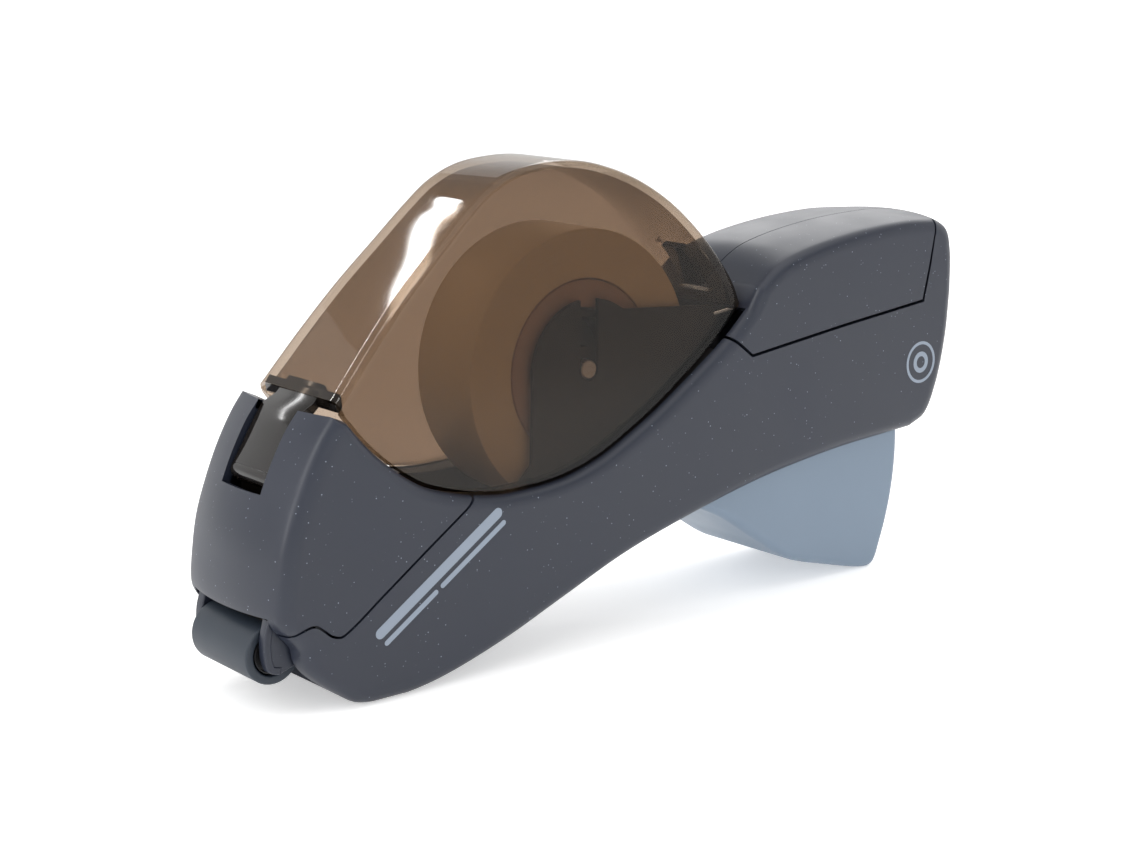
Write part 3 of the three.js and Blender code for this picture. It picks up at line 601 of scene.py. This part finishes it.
def housing_lines():
    """The housing's working lines: belly, rear end, handle top, cover seat and nose front."""
    rim = smooth(COVER_RIM)
    seat = rim - left_of(rim) * 0.8
    belly = smooth(BELLY)
    belly[:, 1] = np.maximum(belly[:, 1], BELLY_LOW)
    return {
        "nose": smooth(NOSE_FRONT),
        "belly": belly,
        "rear_low": smooth(REAR_LOW),
        "rear_top": smooth(REAR_TOP),
        "top": smooth(HANDLE_TOP),
        "seat": seat,
        "parting": smooth(PARTING),
    }


LINES = housing_lines()
EDGE_LINE = np.vstack([
    LINES["nose"][::-1], LINES["belly"], LINES["rear_low"][1:], LINES["rear_top"][1:], LINES["top"][::-1],
    LINES["seat"][::-1], LINES["nose"][-1:],
])


def housing_width(points):
    """Half width of the housing: full, less a quarter circle near its outline."""
    return BODY_HALF - BODY_EDGE + rounded(depth_from(points, EDGE_LINE), BODY_EDGE)


def housing_inside(points):
    """Half width of the housing's hollow."""
    return np.full(points.shape[:-1], MOUTH_HALF)


def paired(*stretches):
    """Stations from matched stretches: (lower, upper, count, low stop, high stop, low cut, high cut)."""
    return [(even(a, n), even(b, n), *rest) for a, b, n, *rest in stretches]


def casing_half(side):
    """Casing half below the parting line and round the handle panel, open at roller, trigger and cover."""
    belly, seat, parting = LINES["belly"], LINES["seat"], LINES["parting"]
    pole, rear = (0.7, 4.5), (182, 52)
    lowered = parting - left_of(parting) * 0.25
    lowered[0] = belly[0]
    stations = paired(
        (between(belly, pole, (5.4, -4.4)), between(lowered, pole, (4.6, 6.0)), 26, ROLLER_MOUTH, OPEN,
         False, True),
        (between(belly, (5.4, -4.4), (8.6, -7.5)), between(lowered, (4.6, 6.0), (8.2, 3.5)), 22,
         ROLLER_MOUTH, OPEN, False, True),
        (between(belly, (8.6, -7.5), (18, -12)), between(lowered, (8.2, 3.5), (14, 5)), 26, CLOSED, OPEN,
         False, True),
        (between(belly, (18, -12), (50, -6.2)), between(lowered, (14, 5), (43.1, 24.7)), 46, CLOSED, OPEN,
         False, True),
        (between(belly, (50, -6.2), (101.4, 11.3)), between(seat, (43.1, 24.8), (100, 41.3)), 70,
         CLOSED, OPEN, False, True),
        (between(belly, (101.4, 11.3), (111, 13.6)), between(seat, (100, 41.3), (110.5, 48.3)), 20,
         TRIGGER_MOUTH, OPEN, False, True),
        (between(belly, (111, 13.6), (117, 14.8)), [(110.5, 48.3), (116.7, 43.7)], 14, TRIGGER_MOUTH, OPEN,
         False, True),
        (between(belly, (117, 14.8), (144, 18.8)), [(116.7, 43.7), (144.8, 47.2)], 34, TRIGGER_MOUTH, OPEN,
         False, True),
        (between(belly, (144, 18.8), (167, 20.4)), [(144.8, 47.2), (171.9, 50.15)], 34, TRIGGER_MOUTH,
         OPEN, False, True),
        (between(belly, (167, 20.4), (169.2, 20.6)), [(171.9, 50.15), (173.85, 58.4)], 14,
         TRIGGER_MOUTH, OPEN, False, True),
        (between(LINES["rear_low"], (169.5, 20.6), (174.6, 23)), [(173.85, 58.4), (175.6, 68.5)], 20,
         CLOSED, OPEN, False, True),
        (between(LINES["rear_low"], (174.6, 23), rear), LINES["rear_top"][::-1], 60, CLOSED, CLOSED, False,
         False),
    )
    return shell_half(stations, housing_width, housing_inside, WALL, crown, side)


def panel_half(side):
    """Handle panel: its lower edge follows the groove, its top follows the handle."""
    seat, top = LINES["seat"], LINES["top"]
    stations = paired(
        ([(111.1, 48.75), (116.85, 44.4)], between(seat, (111.1, 48.75), (116.9, 54.0)), 16,
         OPEN, OPEN, True, True),
        ([(116.85, 44.4), (124, 45.3)], np.vstack([seat[-1:], between(top, (119.8, 58.6), (125, 62.2))]), 20,
         OPEN, CLOSED, True, False),
        ([(124, 45.3), (144.8, 47.9), (171.3, 50.8)], between(top, (125, 62.2), (170, 68.9)), 60,
         OPEN, CLOSED, True, False),
        ([(171.3, 50.8), (173.15, 58.5), (175.2, 68.55)], between(top, (170, 68.9), (175.2, 68.55)), 26,
         OPEN, CLOSED, True, False),
    )
    return shell_half(stations, housing_width, housing_inside, WALL, crown, side)


def nose_half(side):
    """Nose cover above the parting line, open at the roller, with the tongue's slot and the cover's mouth."""
    nose, seat, parting = LINES["nose"], LINES["seat"], LINES["parting"]
    raised = parting + left_of(parting) * 0.25
    raised[0] = nose[0]
    lip = np.vstack([nose[-1:], seat[:1]])
    stations = paired(
        (between(raised, (0.3, 5.0), (2.2, 6.3)), between(nose, (0.3, 5.0), (-1.6, 8.2)), 20,
         OPEN, ROLLER_MOUTH, True, False),
        (between(raised, (2.2, 6.3), (10.2, 3.4)), between(nose, (-1.6, 8.2), (-0.6, 20)), 34, OPEN, 0.0,
         True, False),
        (between(raised, (10.2, 3.4), (20, 9.7)), between(nose, (-0.6, 20), (2.7, 30)), 26, OPEN, 0.0,
         True, False),
        (between(raised, (20, 9.7), (28, 15.2)), between(nose, (2.7, 30), (11.2, 45)), 34, OPEN, SLOT_HALF,
         True, False),
        (between(raised, (28, 15.2), (30, 16.6)), lip, 6, OPEN, SLOT_HALF, True, False),
        (between(raised, (30, 16.6), (42.3, 24.9)), between(seat, (14, 43.9), (42.4, 24.95)), 50, OPEN,
         OPEN, True, True),
    )
    return shell_half(stations, housing_width, housing_inside, WALL, crown, side)


def mirrored_halves(maker):
    """Two mirrored halves of one body, as one part whose middle faces are dropped."""
    left, faces = maker(-1)
    right, more = maker(1)
    return [(np.vstack([left, right]), faces + [[i + len(left) for i in reversed(f)] for f in more])]


class DISPENSER_OT_housing(bpy.types.Operator):
    """Build the casing halves, handle panels and nose cover"""

    bl_idname = "dispenser.housing"
    bl_label = "Housing"

    def execute(self, context):
        """Lofts each shell from its lower and upper line."""
        slate = Finishes.get("housing_plastic")
        edge = context.scene.dispenser_sizes.edge_break / MM
        for side, word in ((-1, "left"), (1, "right")):
            casing = build(f"casing_shell_{word}", [casing_half(side)], bevel=edge)
            place(casing, "housing", "housing_plastic", slate, f"casing_{word}")
            panel = build(f"handle_panel_skin_{word}", [panel_half(side)], bevel=edge)
            place(panel, "housing", "housing_plastic", slate, f"handle_panel_{word}")
        nose = build("nose_shell", mirrored_halves(nose_half), bevel=edge, join_middle=True)
        place(nose, "housing", "housing_plastic", slate, "nose_cover")
        return {"FINISHED"}


# ---------------------------------------------------------------- smoked cover

CREST = smooth(COVER_CREST)
RIM = smooth(COVER_RIM)
LATCH_WINDOW_HALF = 5.0
TONGUE_HALF = 6.6
LATCH_HALF = 3.5


def cover_taper(height):
    """Narrowing of the cover from its lower edge to its crest: half a cosine wave."""
    share = np.clip((height - COVER_SEAT) / COVER_RISE, 0, 1)
    return (COVER_HALF + COVER_TAPER * np.cos(math.pi * share)) / COVER_HALF


def cover_width(points):
    """Half width of the cover outside: tapered, with a rounded crease along the crest."""
    flat = COVER_HALF - COVER_EDGE_R
    return (flat + rounded(depth_from(points, CREST), COVER_EDGE_R)) * cover_taper(points[..., 1])


def cover_inside(points):
    """Half width of the cover inside, one wall in."""
    depth = np.maximum(depth_from(points, CREST) - COVER_WALL, 0)
    flat = COVER_HALF - COVER_WALL - COVER_INNER_R
    return (flat + rounded(depth, COVER_INNER_R)) * cover_taper(points[..., 1])


def cover_half(side):
    """Cover side from its rim to its crest, with the latch tab's window in the rear slope."""
    stations = paired(
        (between(RIM, (14.4, 44.3), (60.3, 24.8)), between(CREST, (13.2, 47), (62, 87.6)), 90,
         COVER_RIM_STOP, 0.0, True, False),
        (between(RIM, (60.3, 24.8), (109, 48.3)), between(CREST, (62, 87.6), (109.9, 67.9)), 90,
         COVER_RIM_STOP, 0.0, True, False),
        (between(RIM, (109, 48.3), (115.4, 53.7)), between(CREST, (109.9, 67.9), (117.1, 57.0)), 30,
         COVER_RIM_STOP, LATCH_WINDOW_HALF, True, False),
        (between(RIM, (115.4, 53.7), (116.4, 54.6)), between(CREST, (117.1, 57.0), (117.6, 55.6)), 8,
         COVER_RIM_STOP, 0.0, True, False),
    )
    return shell_half(stations, cover_width, cover_inside, COVER_WALL, None, side)


FRONT_RIM = [(13.5, 46.9), (13.75, 45.2), (14.5, 44.6), (15.4, 45.3), (15.2, 47.9), (14.6, 48.3)]


class DISPENSER_OT_cover(bpy.types.Operator):
    """Build the smoked cover, its tongue and its latch tab"""

    bl_idname = "dispenser.cover"
    bl_label = "Smoked cover"

    def execute(self, context):
        """Lofts the cover and carries the tongue's and the tab's outlines across the width."""
        smoked, thick = Finishes.get("smoked_plastic"), Finishes.get("smoked_thick")
        cover = build("cover_shell", mirrored_halves(cover_half), join_middle=True)
        place(cover, "cover", "smoked_plastic", smoked, "smoked_cover")
        pivot = sketch_axis("cover_hinge_pin")
        knuckle = turned(pivot, ring_profile(1.2, 2.3, -TONGUE_HALF, TONGUE_HALF, 0.2), 64)
        blade = slab(TONGUE, -TONGUE_HALF, TONGUE_HALF, 0.4)
        parts = [blade, slab(FRONT_RIM, -12.4, 12.4, 0.3), knuckle]
        tongue = build("cover_tongue", parts, bevel=0.15)
        place(tongue, "cover", "smoked_plastic", thick)
        slope = smooth([(110.2, 67.4), (112.3, 65.1), (114.2, 62.4), (116, 59.3), (116.4, 58.3)], 24)
        foot = slope - left_of(slope) * 1.5
        parts = [slab(np.vstack([slope, foot[::-1]]), -LATCH_HALF, LATCH_HALF, 0.25)]
        for x, z in ((111.5, 66.2), (113, 64.2), (114.3, 62.2), (115.5, 60.2)):
            parts.append(slab(arc((x, z), 0.55, 0, 360, 17)[:-1], -3, 3, 0.2))
        tab = build("latch_tab_ridged", parts)
        place(tab, "latch", "smoked_plastic", thick, "cover_latch_tab")
        return {"FINISHED"}


# ---------------------------------------------------------------- press roller and its arms

class DISPENSER_OT_roller(bpy.types.Operator):
    """Build the press roller and the arms that hold it"""

    bl_idname = "dispenser.roller"
    bl_label = "Press roller"

    def execute(self, context):
        """Turns the roller's parts about its own axis and carries the arms' outlines across."""
        centre = (0.0, 0.0)
        sleeve = build("roller_sleeve", [turned(centre, ring_profile(4.2, 6.0, -10.25, 10.25, 0.45), 128)])
        place(sleeve, "press_roller", "roller_rubber", Finishes.get("roller_rubber"), "press_roller_sleeve")
        section = [(1.8, -9.9), (2.6, -9.9), (2.8, -9.2), (3.5, -9.2), (3.7, -9.9), (3.9, -9.9),
                   (3.9, 9.9), (3.7, 9.9), (3.5, 9.2), (2.8, 9.2), (2.6, 9.9), (1.8, 9.9)]
        core = build("roller_core", [turned(centre, section)])
        place(core, "press_roller", "frame_plastic", Finishes.get("frame_plastic"), "press_roller_core")
        axle = build("roller_axle", [turned(centre, pin_profile(1.5, -12.4, 12.4, 0.3), 48)])
        place(axle, "housing", "steel", Finishes.get("steel"), "press_roller_axle")
        nose = smooth([(-2.4, 7.6), (-3.3, 4), (-3.3, 0), (-2.4, -2.6), (-0.2, -3.4)], 26)
        outline = np.vstack([[(-0.4, 13.6), (-0.5, 7.9)], nose, [(4.8, -1.7), (5, 1.6), (4.6, 13.6)]])
        rib_in = nose + left_of(nose) * 1.5
        for side, word in ((-1, "left"), (1, "right")):
            span = sorted((side * ARM_IN, side * ARM_OUT))
            rib = sorted((side * RIB_IN, side * RIB_OUT))
            arm = build(f"roller_arm_{word}_shaped", [
                slab(outline, *span, 0.35), slab(np.vstack([nose, rib_in[::-1]]), *rib, 0.28),
            ])
            place(arm, "housing", "housing_plastic", Finishes.get("housing_plastic"), f"roller_arm_{word}")
        return {"FINISHED"}


# ---------------------------------------------------------------- tape, hub and feed

class DISPENSER_OT_tape(bpy.types.Operator):
    """Build the tape roll, its core and hub, and the feed rollers"""

    bl_idname = "dispenser.tape"
    bl_label = "Tape and feed"

    def execute(self, context):
        """Turns each round piece about the axis of the CAD node it stands for."""
        hub = sketch_axis("hub_axle")
        feed, idler = sketch_axis("feed_shaft"), sketch_axis("idler_pin")
        near = [(2.3, -9.6), (4.6, -9.6), (4.6, -1), (10.8, -1), (10.8, -9.6), (12.1, -9.6), (12.4, -9.3)]
        drum = near + [(radius, -y) for radius, y in reversed(near)]
        rings = [
            ("tape_wound", hub, ring_profile(18.7, 28.9, -9, 9, 0.25), "tape", "tape_film", "tape_roll", 160),
            ("core_ring", hub, ring_profile(12.7, 18.4, -9, 9, 0.25), "tape", "core_card", "tape_core", 128),
            ("hub_drum", hub, drum, "tape", "frame_plastic", "core_hub", 96),
            ("hub_axle_turned", hub, pin_profile(2.0, -11.2, 11.2, 0.3), "tape", "steel", "hub_axle", 48),
            ("feed_shaft_turned", feed, pin_profile(1.5, -12.7, 11.8, 0.3), "feed", "steel",
             "feed_shaft", 48),
            ("idler_turned", idler, ring_profile(1.5, 4.2, -9.4, 9.4, 0.4), "idler", "gear_nylon",
             "idler_roller", 80),
            ("idler_pin_turned", idler, pin_profile(1.2, -11.6, 11.6, 0.25), "housing", "steel",
             "idler_pin", 40),
        ]
        grooved = [(1.8, -9.4), (6.0, -9.4)]
        for y in (-6, -2, 2, 6):
            grooved += [(6.0, y - 0.5), (5.4, y - 0.4), (5.4, y + 0.4), (6.0, y + 0.5)]
        grooved += [(6.0, 9.4), (1.8, 9.4)]
        rings.append(("feed_roller_grooved", feed, grooved, "feed", "roller_rubber", "feed_roller", 96))
        for name, centre, profile, body, slot, replaced, sides in rings:
            ring = build(name, [turned(centre, profile, sides)])
            place(ring, body, slot, Finishes.get(slot), replaced)
        return {"FINISHED"}


# ---------------------------------------------------------------- trigger

TRIGGER_HALF = 15.2
TRIGGER_EDGE = 2.0


def trigger_lines():
    """The trigger's outer line, from its front round the foot and up the rear, and its top line."""
    pivot = sketch_axis("trigger_pivot_pin")
    front = smooth([(104, 11.8), (107, 10.4), (112.7, 7.6), (123, 0.8), (132.7, -5.2), (139, -7.4)])
    heel = tuple(arc(pivot, 63, -24, 6, 11)[1])
    foot = smooth([(139, -7.4), (157.6, -11.9), (160.2, -11.9), (161.7, -10.7), heel])
    rear = arc(pivot, 63, -21, 6, 40)
    return np.vstack([front, foot[1:], rear[1:]]), np.array([(104, 13.4), (112, 21.4), tuple(rear[-1])])


class DISPENSER_OT_trigger(bpy.types.Operator):
    """Build the trigger trough, its pivot ears and its drive arm"""

    bl_idname = "dispenser.trigger"
    bl_label = "Trigger"

    def execute(self, context):
        """Lofts the trough between its outer line and its open top."""
        outer, top = trigger_lines()
        pivot = sketch_axis("trigger_pivot_pin")

        def width(points):
            return TRIGGER_HALF - TRIGGER_EDGE + rounded(depth_from(points, outer), TRIGGER_EDGE)

        def inside(points):
            return np.full(points.shape[:-1], TRIGGER_HALF - WALL)

        def half(side):
            stations = paired((outer, top, 150, 0.0, 13.4, False, True))
            return shell_half(stations, width, inside, WALL, None, side)

        parts = mirrored_halves(half)
        trough = build("trigger_trough", parts, bevel=0.2, join_middle=True)
        place(trough, "trigger", "trigger_plastic", Finishes.get("trigger_plastic"), "trigger")
        ears = []
        for side in (-1, 1):
            span = sorted((side * 13.45, side * 15.15))
            ear = np.vstack([arc(pivot, 4.4, 60, 270, 26), [(112, 9.6), (116, 19.6)]])
            ears.append(slab(ear, *span, 0.2))
        arm_end = (108, 30)
        arm = np.vstack([arc(pivot, 3, 156, 336, 16), arc(arm_end, 3, -24, 156, 16)])
        ears.append(slab(arm, -13.9, -12.9, 0.15))
        ears.append(turned(arm_end, pin_profile(1.1, -15.5, -12.9, 0.2), 32))
        frame_of_trigger = build("trigger_ears_and_arm", ears)
        place(frame_of_trigger, "trigger", "trigger_plastic", Finishes.get("trigger_plastic"))
        return {"FINISHED"}


# ---------------------------------------------------------------- CAD nodes that stay, and printed marks

class DISPENSER_OT_mechanism(bpy.types.Operator):
    """Give the frames, links, blade, pins and screws their finishes"""

    bl_idname = "dispenser.mechanism"
    bl_label = "Mechanism"

    def execute(self, context):
        """Assigns the finish of each kept node's slot."""
        slots = {part["node"]: part["material_slot"] for part in frame["record"]["subparts"]}
        for name, thing in frame["nodes"].items():
            if not thing.hide_render:
                thing.data.materials.clear()
                thing.data.materials.append(Finishes.get(slots[name]))
        return {"FINISHED"}


class DISPENSER_OT_marks(bpy.types.Operator):
    """Print plain marks on the housing's sides"""

    bl_idname = "dispenser.marks"
    bl_label = "Printed marks"

    def execute(self, context):
        """Lays thin plates on the side faces: three bars beside the parting line and a ring round a disc."""
        height = context.scene.dispenser_sizes.print_height / MM
        along = np.array([0.832, 0.555])
        across = np.array([-0.555, 0.832])
        start = np.array([19.0, 2.0])
        bars = ((0, 34, 0, 1.1), (0, 14, -2.6, 0.55), (16, 34, -2.6, 0.55))
        for side, word in ((-1, "left"), (1, "right")):
            span = sorted((side * (BODY_HALF - 0.02), side * (BODY_HALF + height)))
            parts = []
            for near, far, shift, half in bars:
                ends = [start + along * near + across * shift, start + along * far + across * shift]
                rounds = [arc(ends[1], half, -56.3, 123.7, 10), arc(ends[0], half, 123.7, 303.7, 10)]
                parts.append(slab(np.vstack(rounds), *span, 0.01))
            ring = [(4.2, span[0]), (4.9, span[0]), (4.9, span[1]), (4.2, span[1])]
            disc = [(1.4, span[0]), (2.5, span[0]), (2.5, span[1]), (1.4, span[1])]
            parts += [turned((171.5, 36), ring, 64), turned((171.5, 36), disc, 48)]
            marks = build(f"printed_marks_{word}", parts)
            place(marks, "housing", "housing_plastic", Finishes.get("ink"))
        return {"FINISHED"}


# ---------------------------------------------------------------- stage

CAMERA_AT = (-0.2801, -0.3283, 0.1381)
CAMERA_BACK = (-0.6204, -0.7529, 0.2197)
LAMPS = (
    ("softbox_top", (0.05, -0.1, 0.75), (0.9, 0.7), 2.0, 0.0),
    ("softbox_left", (-0.75, 0.05, 0.55), (0.14, 0.9), 3.2, 0.0),
    ("softbox_front", (-0.15, -0.9, 0.45), (0.9, 0.5), 0.5, 0.0),
    ("softbox_rear", (0.65, 0.45, 0.5), (0.6, 0.6), 1.8, 0.0),
    ("strip_behind", (-0.27, 1.035, 0.8), (0.5, 0.018), 0.85, -21.0),
)
SWEEP_FLAT = 1.1  # metres of level paper before it curves up all round
SWEEP_RISE = 2.4
SWEEP_GLOW = 0.42  # light of its own that keeps the paper white away from the lamps


class DISPENSER_OT_stage(bpy.types.Operator):
    """Set the floor, the soft lamps and the camera"""

    bl_idname = "dispenser.stage"
    bl_label = "Stage"

    def execute(self, context):
        """Turns a level paper floor that curves up into a round wall, and hangs the softboxes over it."""
        scene = context.scene
        scene.view_settings.view_transform = "Standard"
        bend = np.radians(np.linspace(0, 85, 24))
        radius = np.r_[np.linspace(0.01, SWEEP_FLAT, 12)[:-1], SWEEP_FLAT + SWEEP_RISE * np.sin(bend)]
        height = np.r_[np.zeros(11), SWEEP_RISE * (1 - np.cos(bend))]
        angle = np.linspace(0, 2 * math.pi, 96, endpoint=False)
        x, y = radius[:, None] * np.cos(angle), radius[:, None] * np.sin(angle)
        points = np.stack([x, y, np.broadcast_to(height[:, None], x.shape)], -1).reshape(-1, 3)
        faces = grid_faces(len(radius), len(angle))
        faces.append(list(range(len(angle))))
        mesh = bpy.data.meshes.new("floor")
        mesh.from_pydata(points, [], faces)
        floor = bpy.data.objects.new("floor", mesh)
        scene.collection.objects.link(floor)
        paper = moulded("paper_sweep_white", "#F4F4F4", "#F8F8F8", 0.9, depth=0.0)
        surface = next(n for n in paper.node_tree.nodes if n.type == "BSDF_PRINCIPLED")
        surface.inputs["Emission Color"].default_value = (1, 1, 1, 1)
        surface.inputs["Emission Strength"].default_value = SWEEP_GLOW
        mesh.materials.append(paper)
        middle = Vector((0.0, 0.0, 0.05))
        for name, at, size, power, roll in LAMPS:
            lamp = bpy.data.lights.new(name, "AREA")
            lamp.shape = "RECTANGLE"
            lamp.size, lamp.size_y = size
            lamp.energy = power
            thing = bpy.data.objects.new(name, lamp)
            thing.location = at
            facing = (Vector(at) - middle).to_track_quat("Z", "Y")
            thing.rotation_euler = (facing @ Quaternion((0, 0, 1), math.radians(roll))).to_euler()
            scene.collection.objects.link(thing)
        sky = scene.world or bpy.data.worlds.new("studio")
        scene.world = sky
        sky.use_nodes = True
        sky.node_tree.nodes["Background"].inputs["Color"].default_value = (1, 1, 1, 1)
        sky.node_tree.nodes["Background"].inputs["Strength"].default_value = 0.5
        lens = bpy.data.cameras.new("camera")
        lens.lens = 64.8
        lens.sensor_width = 36.0
        camera = bpy.data.objects.new("camera", lens)
        camera.location = CAMERA_AT
        camera.rotation_euler = Vector(CAMERA_BACK).to_track_quat("Z", "Y").to_euler()
        scene.collection.objects.link(camera)
        scene.camera = camera
        return {"FINISHED"}


STEPS = ("stage", "housing", "cover", "roller", "tape", "trigger", "mechanism", "marks")


class DISPENSER_PT_panel(bpy.types.Panel):
    """Sidebar panel with the dispenser's looks, sizes and steps"""

    bl_label = "Tape dispenser"
    bl_space_type = "VIEW_3D"
    bl_region_type = "UI"
    bl_category = "Dispenser"

    def draw(self, context):
        """Lists the colours, the sizes and one button for each step."""
        looks, sizes = context.scene.dispenser_looks, context.scene.dispenser_sizes
        for name in ("housing_colour", "housing_light", "trigger_colour", "cover_tint"):
            self.layout.prop(looks, name)
        for name in ("edge_break", "print_height"):
            self.layout.prop(sizes, name)
        for step in STEPS:
            self.layout.operator(f"dispenser.{step}")


CLASSES = (
    DispenserLooks, DispenserSizes, DISPENSER_OT_stage, DISPENSER_OT_housing, DISPENSER_OT_cover,
    DISPENSER_OT_roller, DISPENSER_OT_tape, DISPENSER_OT_trigger, DISPENSER_OT_mechanism, DISPENSER_OT_marks,
    DISPENSER_PT_panel,
)


def register():
    """Registers the classes and puts the properties on the scene."""
    for kind in CLASSES:
        bpy.utils.register_class(kind)
    bpy.types.Scene.dispenser_looks = bpy.props.PointerProperty(type=DispenserLooks)
    bpy.types.Scene.dispenser_sizes = bpy.props.PointerProperty(type=DispenserSizes)


def unregister():
    """Takes the properties and the classes away again."""
    del bpy.types.Scene.dispenser_looks
    del bpy.types.Scene.dispenser_sizes
    for kind in reversed(CLASSES):
        bpy.utils.unregister_class(kind)


def main():
    """Builds the dispenser step by step."""
    register()
    Finishes.make(bpy.context.scene.dispenser_looks)
    for step in STEPS:
        getattr(bpy.ops.dispenser, step)()


if __name__ == "__main__":
    main()
